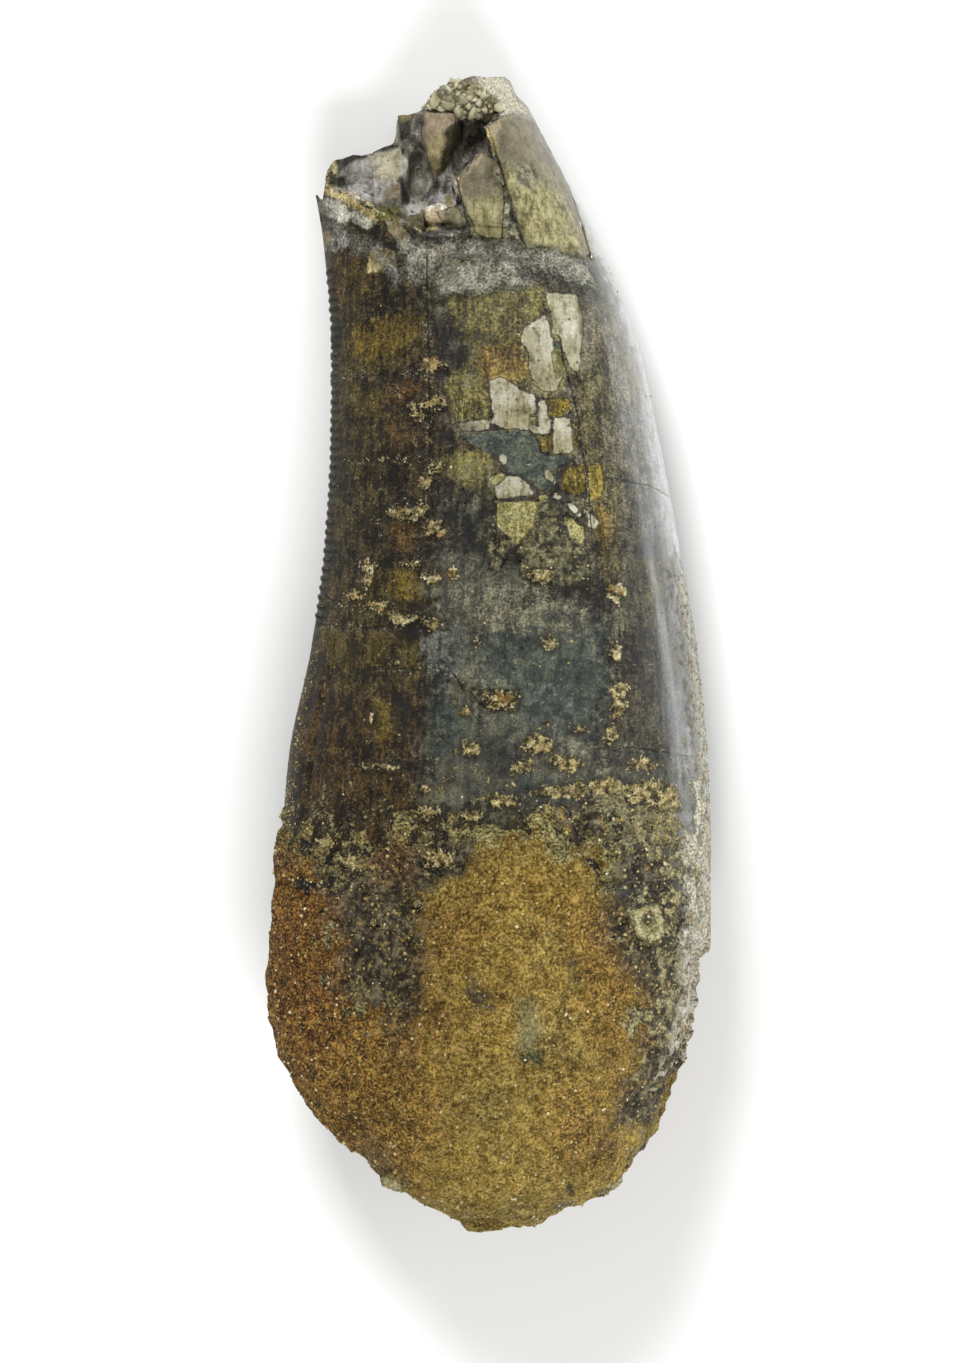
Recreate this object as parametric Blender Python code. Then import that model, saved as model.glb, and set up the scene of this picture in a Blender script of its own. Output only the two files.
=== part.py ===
"""A fossil tooth of a large meat-eating dinosaur, with sandstone still clinging to its base.

The tooth lies on its flatter side, as it would on a shelf. +Y runs from the root to the broken tip,
+X to the thick convex edge, -X to the serrated edge, +Z up. The origin is under the middle of the object,
on the surface it lies on. Lengths below are in millimetres and become metres where the meshes are made.
"""

import math

import bmesh
import bpy
import numpy as np
from mathutils import Matrix, Vector, noise

MM = 0.001

# The tooth's cross-sections. Each row is one station along +Y: its place, the serrated edge, the convex
# edge, the underside, the upper side, the height of both edges, and how blunt the serrated edge is, from 1
# for a wedge to 0.5 for an ellipse.
SECTIONS = (
    (-40.4, -1.9, 3.7, 5.0, 11.4, 8.0, 0.50),
    (-39.6, -3.7, 5.7, 3.7, 12.8, 8.0, 0.50),
    (-38.2, -6.3, 8.2, 2.7, 13.9, 8.0, 0.50),
    (-36.2, -8.7, 10.2, 2.0, 14.7, 8.0, 0.52),
    (-34.0, -10.9, 11.8, 1.6, 15.2, 8.0, 0.54),
    (-31.2, -13.2, 13.0, 1.35, 15.6, 8.0, 0.56),
    (-28.2, -14.6, 14.2, 1.25, 15.8, 8.0, 0.58),
    (-25.4, -15.1, 14.8, 1.2, 15.9, 8.0, 0.60),
    (-22.4, -15.2, 15.0, 1.2, 15.9, 7.9, 0.62),
    (-21.0, -15.2, 16.0, 1.2, 15.9, 7.9, 0.63),
    (-19.0, -15.15, 16.15, 1.2, 15.9, 7.9, 0.65),
    (-14.4, -14.95, 16.33, 1.1, 15.8, 7.8, 0.70),
    (-7.2, -14.35, 16.04, 1.0, 15.5, 7.5, 0.76),
    (0.1, -12.8, 15.3, 1.0, 15.0, 7.2, 0.80),
    (7.4, -11.8, 14.1, 0.9, 14.3, 6.8, 0.80),
    (14.6, -11.35, 12.75, 0.7, 13.4, 6.3, 0.80),
    (21.9, -11.25, 11.2, 0.4, 12.3, 5.7, 0.80),
    (29.2, -11.85, 8.4, 0.1, 11.0, 5.1, 0.80),
    (36.5, -13.1, 4.85, 0.0, 9.6, 4.5, 0.80),
    (45.0, -14.8, 0.2, 0.3, 8.2, 4.0, 0.80),
)
CONVEX_EDGE_ROUNDING = 0.5
POINTS_AROUND = 40
ROOT_RING_SPACING = 3.2
CROWN_RING_SPACING = 2.0
ROOT_END = -40.4
CROWN_START = -22.4
CROWN_END = 45.0

# The rock round the base.
GAP = 0.3
THINNEST_WALL = 0.25
THIN_WALL = 0.35
FULL_WALL = 0.85
UNDERSIDE_EXTRA = 1.1
FULL_WALL_WITHIN = 9.0
ROCK_LUMP = 0.45
ROCK_LUMP_SIZE = 2.6
ROCK_RINGS = 15
# How its end is rounded, ring by ring: what is left of the last ring's width, and how far on it lies.
ROCK_END_OUTSIDE = ((0.66, 0.62), (0.22, 0.8))
ROCK_END_INSIDE = ((0.9, GAP),)
ROCK_EDGE_JAG = 1.3
ROCK_EDGE_JAGS = 7.0
# The ragged upper edge of the rock: how far round the tooth, as a share of a full turn from the serrated edge
# over the upper side, and the place of the edge there.
ROCK_EDGE = (
    (0.00, -10.5),
    (0.05, -12.5),
    (0.09, -16.0),
    (0.14, -22.5),
    (0.19, -25.5),
    (0.24, -19.0),
    (0.29, -14.6),
    (0.34, -13.6),
    (0.38, -17.0),
    (0.42, -26.5),
    (0.46, -29.3),
    (0.52, -28.6),
    (0.57, -25.6),
    (0.63, -20.4),
    (0.70, -16.8),
    (0.78, -20.6),
    (0.86, -15.4),
    (0.93, -13.0),
    (1.00, -10.5),
)

# Where the end of the rock broke: all that lies beyond this line, as seen from above, is gone.
ROCK_BREAK = (
    (-18.0, -33.0),
    (-12.5, -34.1),
    (-11.0, -34.9),
    (-9.9, -36.2),
    (-8.6, -38.2),
    (-5.5, -39.0),
    (-4.9, -39.8),
    (-3.5, -40.3),
    (-1.5, -41.5),
    (-0.4, -42.0),
    (1.9, -41.4),
    (3.9, -41.6),
    (4.7, -41.0),
    (6.2, -40.3),
    (7.6, -39.8),
    (8.9, -38.9),
    (10.2, -37.7),
    (11.9, -35.8),
    (12.8, -34.5),
    (18.0, -32.0),
    (18.0, -46.0),
    (-18.0, -46.0),
)

# The serrations.
DENTICLE_PITCH = 0.68
DENTICLE_LENGTH = 1.1
DENTICLE_OUTER = 0.8
DENTICLE_INNER = 1.05
DENTICLE_WIDTH = 0.25
DENTICLE_HEIGHT = 0.62
DENTICLE_STANDS_OUT = 0.22
DENTICLE_WEAR = 0.2
SERRATED_FROM = 2.6
SERRATED_TO = 27.4

# Where the tip broke off, as seen from above: all that lies beyond this line is gone.
TIP_OUTLINE = (
    (-18.0, 33.9),
    (-12.4, 33.8),
    (-11.9, 33.3),
    (-11.7, 35.2),
    (-11.3, 35.8),
    (-8.5, 36.5),
    (-6.7, 37.1),
    (-6.5, 39.1),
    (-4.8, 39.4),
    (-3.7, 40.3),
    (-2.6, 41.1),
    (-1.6, 41.75),
    (1.5, 42.0),
    (1.9, 41.3),
    (2.1, 40.7),
    (3.2, 39.8),
    (4.2, 38.9),
    (6.0, 38.9),
    (6.0, 48.0),
    (-18.0, 48.0),
)
# The hollow that the break left in the upper side, round the plates that still stand.
HOLLOW_OUTLINE = (
    (-18.0, 27.0),
    (-4.7, 27.0),
    (-4.6, 32.1),
    (-3.4, 32.4),
    (-2.1, 32.3),
    (-2.4, 34.2),
    (-1.5, 35.0),
    (-0.7, 36.2),
    (0.4, 36.1),
    (-0.2, 38.3),
    (0.9, 39.1),
    (2.4, 39.4),
    (3.7, 39.0),
    (6.0, 41.0),
    (6.0, 48.0),
    (-18.0, 48.0),
)
# The line at which the hollow's near wall meets the upper side, as places along X and Y.
LEDGE_X = (-14.0, -12.4, -9.4, -7.6, -5.0, -2.0, 4.0)
LEDGE_Y = (34.0, 33.7, 32.9, 31.3, 30.1, 29.9, 29.5)
LEDGE_SLOPE = 2.1
LEDGE_RISE = 0.3
# The broken face inside the tip: its floor, its roughness, the chunk in it, the rise to the summit.
HOLLOW_SLAB = ((-18.0, 26.5), (6.0, 48.5))
HOLLOW_FLOOR = 3.4
HOLLOW_ROUGHNESS = 0.75
HOLLOW_GRAIN = (0.55, 0.4)
HOLLOW_CELL = 1.25
HOLLOW_JITTER = 0.35
CHUNK_CENTRE = (-3.4, 37.2)
CHUNK_REACH = (1.9, 2.7)
CHUNK_HEIGHT = 3.0
SUMMIT_START = 38.6
SUMMIT_X = (-6.0, -3.0)
SUMMIT_SLOPE = 1.1

# Heights that the cutting shapes reach: below the tooth, inside it and above it.
CUTTER_LOW = -4.0
MIDDLE = 4.3
CUTTER_HIGH = 24.0

# Scars where layers of the surface have flaked away: depth, then the outline as seen from above.
TOP_SCARS = (
    (0.45, ((2.8, 29.3), (0.75, 35.4), (-0.9, 38.9), (1.2, 40.6), (4.2, 40.6), (5.5, 35.4), (7.7, 29.0),
            (4.4, 29.7))),
    (1.2, ((-1.1, 30.1), (-3.0, 33.0), (-3.4, 36.6), (0.3, 37.4), (0.72, 35.4), (1.5, 33.0), (1.3, 30.2))),
    (2.3, ((-5.6, 30.5), (-5.6, 33.4), (-2.05, 33.6), (-1.25, 30.2), (-3.0, 30.8))),
    (0.75, ((-6.6, 28.2), (-6.6, 31.4), (2.2, 31.2), (2.9, 29.2), (6.8, 28.7), (7.0, 27.9),
            (4.3, 27.2), (2.2, 28.2), (-2.6, 28.6), (-4.1, 27.3))),
    (0.5, ((-14.0, 31.8), (-14.0, 36.0), (-6.7, 34.0), (-6.7, 28.1), (-8.8, 29.6), (-10.3, 30.9))),
    (0.4, ((4.3, 26.0), (6.4, 25.8), (6.9, 22.6), (6.6, 18.4), (3.4, 19.3), (2.8, 21.8), (3.9, 22.3))),
    (0.45, ((0.5, 19.5), (3.2, 18.9), (3.6, 15.5), (1.0, 15.4), (-2.4, 15.8), (-2.2, 16.5), (0.2, 16.5))),
    (0.7, ((-1.2, 15.6), (3.4, 15.9), (4.3, 13.2), (3.2, 12.7), (1.3, 12.7), (0.3, 13.9))),
    (0.4, ((4.4, 16.9), (6.1, 16.8), (6.2, 14.1), (4.6, 14.2))),
    (0.45, ((0.6, 12.3), (3.6, 12.5), (4.0, 7.9), (0.8, 7.7))),
    (0.6, ((4.4, 13.0), (7.9, 13.5), (8.0, 9.5), (7.1, 6.9), (4.6, 7.5))),
)
UNDER_SCARS = (
    (0.5, ((-7.6, 27.2), (-2.4, 28.4), (-1.8, 21.6), (-5.2, 20.2), (-8.2, 22.8))),
    (0.7, ((1.8, 17.8), (6.6, 16.9), (7.2, 9.6), (3.0, 8.4), (0.9, 12.4))),
    (0.5, ((-9.4, 6.8), (-5.0, 5.6), (-4.2, -1.8), (-8.8, -2.6))),
)
SCAR_SOLID_DEPTH = 4.0

# Colours from the photograph, as linear red, green and blue.
TOOTH_COLOUR = (0.078, 0.068, 0.045, 1.0)
ROCK_COLOUR = (0.215, 0.150, 0.062, 1.0)


def clear_scene():
    for obj in list(bpy.data.objects):
        bpy.data.objects.remove(obj, do_unlink=True)


def new_collection(name):
    collection = bpy.data.collections.new(name)
    bpy.context.scene.collection.children.link(collection)
    return collection


def new_material(name, colour, roughness):
    material = bpy.data.materials.new(name)
    material.use_nodes = True
    shader = material.node_tree.nodes["Principled BSDF"]
    shader.inputs["Base Color"].default_value = colour
    shader.inputs["Roughness"].default_value = roughness
    shader.inputs["Metallic"].default_value = 0.0
    return material


def smooth_column(places, values, y):
    """The value at y of a curve through the points that never overshoots them."""
    steps = np.diff(places)
    rates = np.diff(values) / steps
    slopes = np.zeros(len(places))
    slopes[0], slopes[-1] = rates[0], rates[-1]
    for i in range(1, len(places) - 1):
        if rates[i - 1] * rates[i] > 0:
            near, far = 2 * steps[i] + steps[i - 1], steps[i] + 2 * steps[i - 1]
            slopes[i] = (near + far) / (near / rates[i - 1] + far / rates[i])
    i = int(np.clip(np.searchsorted(places, y) - 1, 0, len(steps) - 1))
    t = (y - places[i]) / steps[i]
    return (
        (2 * t**3 - 3 * t**2 + 1) * values[i]
        + (t**3 - 2 * t**2 + t) * steps[i] * slopes[i]
        + (3 * t**2 - 2 * t**3) * values[i + 1]
        + (t**3 - t**2) * steps[i] * slopes[i + 1]
    )


SECTION_TABLE = np.array(SECTIONS)


def section_at(y):
    """The serrated edge, convex edge, underside, upper side, edge height and edge bluntness at y."""
    return [smooth_column(SECTION_TABLE[:, 0], SECTION_TABLE[:, i], y) for i in range(1, 7)]


def bulge(across, bluntness):
    """How full the section is, 0 at both edges and 1 at its thickest, at a place from 0 to 1 across it."""
    thickest = bluntness / (bluntness + CONVEX_EDGE_ROUNDING)
    return (across / thickest) ** bluntness * ((1 - across) / (1 - thickest)) ** CONVEX_EDGE_ROUNDING


def surface_point(y, turn):
    """The tooth's surface at y. turn runs from 0 at the serrated edge over the upper side and round to 1."""
    serrated, convex, under, upper, edge, bluntness = section_at(y)
    angle = 2 * math.pi * turn
    across = (1 - math.cos(angle)) / 2
    reach = upper - edge if math.sin(angle) >= 0 else under - edge
    return Vector((serrated + (convex - serrated) * across, y, edge + reach * bulge(across, bluntness)))


def upper_height(x, y):
    """The height of the tooth's upper side above a place."""
    serrated, convex, under, upper, edge, bluntness = section_at(y)
    across = min(1.0, max(0.0, (x - serrated) / (convex - serrated)))
    return edge + (upper - edge) * bulge(across, bluntness)


def surface_normal(y, turn):
    """The direction straight out of the tooth's surface."""
    low, high = max(y - 0.05, ROOT_END), min(y + 0.05, CROWN_END)
    along = surface_point(high, turn) - surface_point(low, turn)
    around = surface_point(y, turn + 0.004) - surface_point(y, (turn - 0.004) % 1.0)
    return around.cross(along).normalized()


def offset_point(y, turn, distance):
    return surface_point(y, turn) + surface_normal(y, turn) * distance


def mesh_object(name, mesh, collection):
    obj = bpy.data.objects.new(name, mesh)
    collection.objects.link(obj)
    return obj


def band(bm, near, far):
    """Faces between two rings of corners."""
    for i in range(len(near)):
        j = (i + 1) % len(near)
        bm.faces.new((near[i], near[j], far[j], far[i]))


def skin(bm, rings):
    """Faces over rings of points in millimetres. Returns the corners, ring by ring."""
    made = [[bm.verts.new(point * MM) for point in ring] for ring in rings]
    for near, far in zip(made[:-1], made[1:]):
        band(bm, near, far)
    return made


def finished(bm, name, collection):
    """The object made from a finished bmesh, its faces turned outwards."""
    bmesh.ops.recalc_face_normals(bm, faces=bm.faces)
    mesh = bpy.data.meshes.new(name)
    bm.to_mesh(mesh)
    bm.free()
    return mesh_object(name, mesh, collection)


def loft(name, rings, collection):
    """A solid through rings of points, with a flat cap at each end."""
    bm = bmesh.new()
    made = skin(bm, rings)
    bm.faces.new(made[0])
    bm.faces.new(made[-1])
    return finished(bm, name, collection)


def turns():
    return [i / POINTS_AROUND for i in range(POINTS_AROUND)]


def ring_places():
    """Stations of the tooth's rings: wide apart inside the rock, closer on the crown."""
    root = [row[0] for row in SECTIONS if row[0] < -36]
    root += list(np.arange(-36.2, CROWN_START, ROOT_RING_SPACING))
    step_in_wall = [CROWN_START, -21.0]
    crown = list(np.arange(-19.2, CROWN_END, CROWN_RING_SPACING))
    return root + step_in_wall + crown + [CROWN_END]


def tooth_blank(name, collection):
    """The whole tooth before it broke."""
    return loft(name, [[surface_point(y, t) for t in turns()] for y in ring_places()], collection)


def outline_solid(name, outline, low, high, collection):
    """A flat outline, seen from above, made solid between two heights in millimetres."""
    curve = bpy.data.curves.new(name, "CURVE")
    curve.dimensions = "2D"
    curve.fill_mode = "BOTH"
    curve.extrude = (high - low) / 2 * MM
    spline = curve.splines.new("POLY")
    spline.points.add(len(outline) - 1)
    for point, (x, y) in zip(spline.points, outline):
        point.co = (x * MM, y * MM, 0, 1)
    spline.use_cyclic_u = True
    flat = bpy.data.objects.new(name + "_curve", curve)
    bpy.context.scene.collection.objects.link(flat)
    flat.location.z = (low + high) / 2 * MM
    bpy.context.view_layer.update()
    graph = bpy.context.evaluated_depsgraph_get()
    mesh = bpy.data.meshes.new_from_object(flat.evaluated_get(graph))
    bm = bmesh.new()
    bm.from_mesh(mesh)
    bmesh.ops.remove_doubles(bm, verts=bm.verts, dist=1e-6)
    bmesh.ops.recalc_face_normals(bm, faces=bm.faces)
    bm.to_mesh(mesh)
    bm.free()
    solid = mesh_object(name, mesh, collection)
    solid.matrix_world = flat.matrix_world
    bpy.data.objects.remove(flat)
    return as_cutter(solid)


def as_cutter(obj):
    obj.hide_render = True
    obj.display_type = "WIRE"
    return obj


def boolean(obj, other, operation):
    modifier = obj.modifiers.new(f"{operation}_{other.name}"[:60], "BOOLEAN")
    modifier.operation = operation
    modifier.object = other
    modifier.solver = "EXACT"
    return modifier


def scar_bed(name, depth, upper_side, collection):
    """What is left under a scar that deep: the tooth with one side moved in and the other well out."""
    sink = -depth if upper_side else SCAR_SOLID_DEPTH
    rise = -SCAR_SOLID_DEPTH if upper_side else depth
    rings = []
    for y in ring_places():
        ring = []
        for t in turns():
            on_top = math.sin(2 * math.pi * t) >= -1e-9
            ring.append(surface_point(y, t) + Vector((0, 0, sink if on_top else rise)))
        rings.append(ring)
    return as_cutter(loft(name, rings, collection))


def cut_scars(tooth, scars, upper_side, cutters):
    """Takes a thin layer off the tooth inside each outline."""
    side = "top" if upper_side else "under"
    low, high = (MIDDLE, CUTTER_HIGH) if upper_side else (CUTTER_LOW, MIDDLE)
    for number, (depth, outline) in enumerate(scars):
        bed = scar_bed(f"{side}_bed_{number}", depth, upper_side, cutters)
        cutter = outline_solid(f"{side}_scar_{number}", outline, low, high, cutters)
        boolean(cutter, bed, "DIFFERENCE")
        boolean(tooth, cutter, "DIFFERENCE")


def hollow_height(x, y):
    """The height of the broken face inside the tip."""
    place = Vector((x * HOLLOW_GRAIN[0], y * HOLLOW_GRAIN[1], 0))
    rough = HOLLOW_ROUGHNESS * noise.fractal(place, 1.0, 2.0, 3)
    away = math.hypot((x - CHUNK_CENTRE[0]) / CHUNK_REACH[0], (y - CHUNK_CENTRE[1]) / CHUNK_REACH[1])
    chunk = CHUNK_HEIGHT * max(0.0, 1 - away**3)
    summit = SUMMIT_SLOPE * max(0.0, y - SUMMIT_START) * float(np.interp(x, SUMMIT_X, (0, 1)))
    ledge = float(np.interp(x, LEDGE_X, LEDGE_Y))
    wall = upper_height(x, ledge) + LEDGE_RISE - LEDGE_SLOPE * (y - ledge + rough / 2)
    return max(HOLLOW_FLOOR + rough + chunk + summit, wall)


def hollow_cutter(cutters):
    """A rough slab above the broken face, kept inside the hollow's outline."""
    (left, near), (right, far) = HOLLOW_SLAB
    bm = bmesh.new()
    columns, rows = round((right - left) / HOLLOW_CELL), round((far - near) / HOLLOW_CELL)
    bmesh.ops.create_grid(bm, x_segments=columns, y_segments=rows, size=0.5)
    for vert in bm.verts:
        x = left + (vert.co.x + 0.5) * (right - left)
        y = near + (vert.co.y + 0.5) * (far - near)
        if left < x < right and near < y < far:
            x += HOLLOW_JITTER * noise.noise(Vector((x, y, 1)))
            y += HOLLOW_JITTER * noise.noise(Vector((x, y, 8)))
        vert.co = Vector((x, y, hollow_height(x, y))) * MM
    bmesh.ops.triangulate(bm, faces=bm.faces)
    raised = bmesh.ops.extrude_face_region(bm, geom=list(bm.faces))
    for vert in (item for item in raised["geom"] if isinstance(item, bmesh.types.BMVert)):
        vert.co.z = CUTTER_HIGH * MM
    slab = as_cutter(finished(bm, "hollow_slab", cutters))
    outline = outline_solid("hollow_outline", HOLLOW_OUTLINE, CUTTER_LOW, CUTTER_HIGH - 1, cutters)
    boolean(slab, outline, "INTERSECT")
    return slab


def serrations(cutters):
    """A row of small blunt bars set across the serrated edge, in one mesh."""
    bm = bmesh.new()
    count = int((SERRATED_TO - SERRATED_FROM) / DENTICLE_PITCH) + 1
    for i in range(count):
        y = SERRATED_FROM + i * DENTICLE_PITCH
        edge = surface_point(y, 0.0)
        outward = surface_normal(y, 0.0)
        slope = math.atan2(outward.y, -outward.x)
        wear = 1 - DENTICLE_WEAR * (1 + noise.noise(Vector((0, y, 0))))
        place = (
            Matrix.Translation(edge * MM)
            @ Matrix.Rotation(-slope, 4, "Z")
            @ Matrix.Translation(Vector((DENTICLE_LENGTH / 2 - DENTICLE_STANDS_OUT * wear, 0, 0)) * MM)
            @ Matrix.Diagonal((1, DENTICLE_WIDTH, DENTICLE_HEIGHT, 1))
            @ Matrix.Rotation(math.pi / 2, 4, "Y")
        )
        bmesh.ops.create_cone(
            bm,
            cap_ends=True,
            segments=6,
            radius1=DENTICLE_OUTER * MM,
            radius2=DENTICLE_INNER * MM,
            depth=DENTICLE_LENGTH * MM,
            matrix=place,
        )
    return as_cutter(finished(bm, "serrations", cutters))


def make_tooth(parts, cutters):
    tooth = tooth_blank("tooth", parts)
    boolean(tooth, serrations(cutters), "UNION")
    cut_scars(tooth, TOP_SCARS, True, cutters)
    cut_scars(tooth, UNDER_SCARS, False, cutters)
    boolean(tooth, hollow_cutter(cutters), "DIFFERENCE")
    tip = outline_solid("tip_break", TIP_OUTLINE, CUTTER_LOW, CUTTER_HIGH, cutters)
    boolean(tooth, tip, "DIFFERENCE")
    tooth.data.materials.append(new_material("tooth_enamel", TOOTH_COLOUR, 0.3))
    return tooth


def rock_edge(turn):
    places, edges = zip(*ROCK_EDGE)
    round_the_edge = Vector((math.cos(2 * math.pi * turn), math.sin(2 * math.pi * turn), 0)) * ROCK_EDGE_JAGS
    return float(np.interp(turn, places, edges)) + ROCK_EDGE_JAG * noise.noise(round_the_edge)


def rock_wall(y, turn):
    """How thick the rock is: thin at its ragged edge, thicker below it, and thickest under the tooth."""
    from_edge = min(1.0, max(0.0, (rock_edge(turn) - y) / FULL_WALL_WITHIN))
    wall = THIN_WALL + (FULL_WALL - THIN_WALL) * from_edge
    place = surface_point(y, turn) / ROCK_LUMP_SIZE
    wall += ROCK_LUMP * noise.fractal(place, 1.0, 2.0, 3) * (0.3 + from_edge)
    underneath = max(0.0, -math.sin(2 * math.pi * turn))
    return max(wall + UNDERSIDE_EXTRA * from_edge * underneath**2, THINNEST_WALL)


def rock_rings():
    """Rings down the outside of the rock to the end of the root, then back up its inside."""
    outside, inside = [], []
    for k in range(ROCK_RINGS):
        share = math.sin(k / (ROCK_RINGS - 1) * math.pi / 2)
        outer_ring, inner_ring = [], []
        for turn in turns():
            y = rock_edge(turn) + (ROOT_END - rock_edge(turn)) * share
            outer = offset_point(y, turn, GAP + rock_wall(y, turn))
            outer.z = max(outer.z, 0.0)
            outer_ring.append(outer)
            inner_ring.append(offset_point(y, turn, GAP))
        outside.append(outer_ring)
        inside.append(inner_ring)
    return outside, inside


def rounded_end(rings, steps):
    """Adds rings drawn in towards the middle of the last one and moved down, to round off the end."""
    for share, drop in steps:
        middle = sum(rings[-1], Vector()) / len(rings[-1])
        rings.append([middle + (point - middle) * share - Vector((0, drop, 0)) for point in rings[-1]])


def make_rock(parts, cutters):
    outside, inside = rock_rings()
    rounded_end(outside, ROCK_END_OUTSIDE)
    rounded_end(inside, ROCK_END_INSIDE)
    bm = bmesh.new()
    outer, inner = skin(bm, outside), skin(bm, inside)
    bm.faces.new(outer[-1])
    bm.faces.new(inner[-1])
    band(bm, outer[0], inner[0])
    rock = finished(bm, "sandstone_matrix", parts)
    broken_off = outline_solid("rock_break", ROCK_BREAK, CUTTER_LOW, CUTTER_HIGH, cutters)
    boolean(rock, broken_off, "DIFFERENCE")
    rock.data.materials.append(new_material("sandstone", ROCK_COLOUR, 0.85))
    return rock


def main():
    clear_scene()
    parts = new_collection("fossil_tooth")
    cutters = new_collection("cutters")
    make_tooth(parts, cutters)
    make_rock(parts, cutters)


main()
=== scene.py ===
"""The looks of a fossil tooth with sandstone round its base.

Lengths are in millimetres and become metres where a mesh is made. Places in photograph pixels are read in
its 980 x 1363 frame, and on_tooth() turns them into places on the tooth.
"""

import math
from itertools import product

import bmesh
import bpy
import numpy as np
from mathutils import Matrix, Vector


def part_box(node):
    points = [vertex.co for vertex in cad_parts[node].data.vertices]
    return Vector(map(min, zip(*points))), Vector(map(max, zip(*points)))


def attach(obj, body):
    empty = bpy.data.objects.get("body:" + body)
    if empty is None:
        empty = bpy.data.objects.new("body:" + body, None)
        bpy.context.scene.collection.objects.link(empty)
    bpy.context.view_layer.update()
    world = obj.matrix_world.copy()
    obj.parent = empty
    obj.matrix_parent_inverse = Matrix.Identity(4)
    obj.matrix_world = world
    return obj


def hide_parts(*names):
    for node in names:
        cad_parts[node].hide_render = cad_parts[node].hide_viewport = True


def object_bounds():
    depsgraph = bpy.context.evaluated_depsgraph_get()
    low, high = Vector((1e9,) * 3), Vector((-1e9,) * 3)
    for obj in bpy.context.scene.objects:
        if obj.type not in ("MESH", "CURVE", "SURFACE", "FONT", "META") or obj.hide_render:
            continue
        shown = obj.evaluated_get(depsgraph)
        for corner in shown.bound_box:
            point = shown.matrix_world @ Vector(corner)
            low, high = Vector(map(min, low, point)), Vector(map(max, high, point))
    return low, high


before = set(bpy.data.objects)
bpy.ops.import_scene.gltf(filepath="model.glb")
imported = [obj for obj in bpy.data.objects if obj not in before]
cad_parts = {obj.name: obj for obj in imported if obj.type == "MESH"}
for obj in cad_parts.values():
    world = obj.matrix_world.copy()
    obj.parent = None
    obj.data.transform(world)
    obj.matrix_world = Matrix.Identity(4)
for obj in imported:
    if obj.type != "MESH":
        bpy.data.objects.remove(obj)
cad_box = [list(corner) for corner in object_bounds()]

MM = 0.001
PIXELS_PER_MM = 13.75
ORIGIN_PIXEL = (486.5, 652.0)

# The tooth's cross-sections: place along Y, serrated edge, convex edge, underside, upper side, height of both
# edges, and how blunt the serrated edge is.
SECTIONS = np.array((
    (-40.4, -1.9, 3.7, 5.0, 11.4, 8.0, 0.50),
    (-39.6, -3.7, 5.7, 3.7, 12.8, 8.0, 0.50),
    (-38.2, -6.3, 8.2, 2.7, 13.9, 8.0, 0.50),
    (-36.2, -8.7, 10.2, 2.0, 14.7, 8.0, 0.52),
    (-34.0, -10.9, 11.8, 1.6, 15.2, 8.0, 0.54),
    (-31.2, -13.2, 13.0, 1.35, 15.6, 8.0, 0.56),
    (-28.2, -14.6, 14.2, 1.25, 15.8, 8.0, 0.58),
    (-25.4, -15.1, 14.8, 1.2, 15.9, 8.0, 0.60),
    (-22.4, -15.2, 15.0, 1.2, 15.9, 7.9, 0.62),
    (-21.0, -15.2, 16.0, 1.2, 15.9, 7.9, 0.63),
    (-19.0, -15.15, 16.15, 1.2, 15.9, 7.9, 0.65),
    (-14.4, -14.95, 16.33, 1.1, 15.8, 7.8, 0.70),
    (-7.2, -14.35, 16.04, 1.0, 15.5, 7.5, 0.76),
    (0.1, -12.8, 15.3, 1.0, 15.0, 7.2, 0.80),
    (7.4, -11.8, 14.1, 0.9, 14.3, 6.8, 0.80),
    (14.6, -11.35, 12.75, 0.7, 13.4, 6.3, 0.80),
    (21.9, -11.25, 11.2, 0.4, 12.3, 5.7, 0.80),
    (29.2, -11.85, 8.4, 0.1, 11.0, 5.1, 0.80),
    (36.5, -13.1, 4.85, 0.0, 9.6, 4.5, 0.80),
    (45.0, -14.8, 0.2, 0.3, 8.2, 4.0, 0.80),
))
CONVEX_EDGE_ROUNDING = 0.5
ROOT_END = -40.4
CROWN_END = 45.0

# How finely the tooth is made.
UPPER_POINTS = 170
UNDER_POINTS = 84
CROWN_STEP = 0.26
ROOT_STEP = 1.6
HIDDEN_BELOW = -30.0

# The serrations.
SERRATION_PITCH = 0.68
SERRATED_FROM = 2.6
SERRATED_TO = 28.2
SERRATION_LENGTH = 1.25
SERRATION_STANDS_OUT = 0.10

# The broken tip, as seen from above.
TIP_OUTLINE = (
    (-18.0, 33.5), (-12.4, 33.45), (-11.9, 33.1), (-11.7, 35.2), (-11.3, 35.8), (-8.5, 36.5), (-6.7, 37.1),
    (-6.5, 39.1), (-4.8, 39.4), (-3.7, 40.3), (-2.6, 41.1), (-1.6, 41.75), (1.5, 42.0), (1.9, 41.3),
    (2.1, 40.7), (3.2, 39.8), (4.2, 38.9), (6.0, 38.9), (6.0, 48.0), (-18.0, 48.0),
)
HOLLOW_OUTLINE = (
    (-18.0, 27.0), (-4.7, 27.0), (-4.6, 32.1), (-3.4, 32.4), (-2.1, 32.3), (-2.4, 34.2), (-1.5, 35.0),
    (-0.7, 36.2), (0.4, 36.1), (-0.2, 38.3), (0.9, 39.1), (2.4, 39.4), (3.7, 39.0), (6.0, 41.0), (6.0, 48.0),
    (-18.0, 48.0),
)
LEDGE_X = (-14.0, -12.4, -9.4, -7.6, -5.0, -2.0, 4.0)
LEDGE_Y = (34.0, 33.7, 32.9, 31.3, 30.1, 29.9, 29.5)
HOLLOW_FLOOR = 5.5
BROKEN_FROM = 27
CUTTERS_TOP = 22.0
PRISM_LOW, PRISM_HIGH = -4, 20


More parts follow.
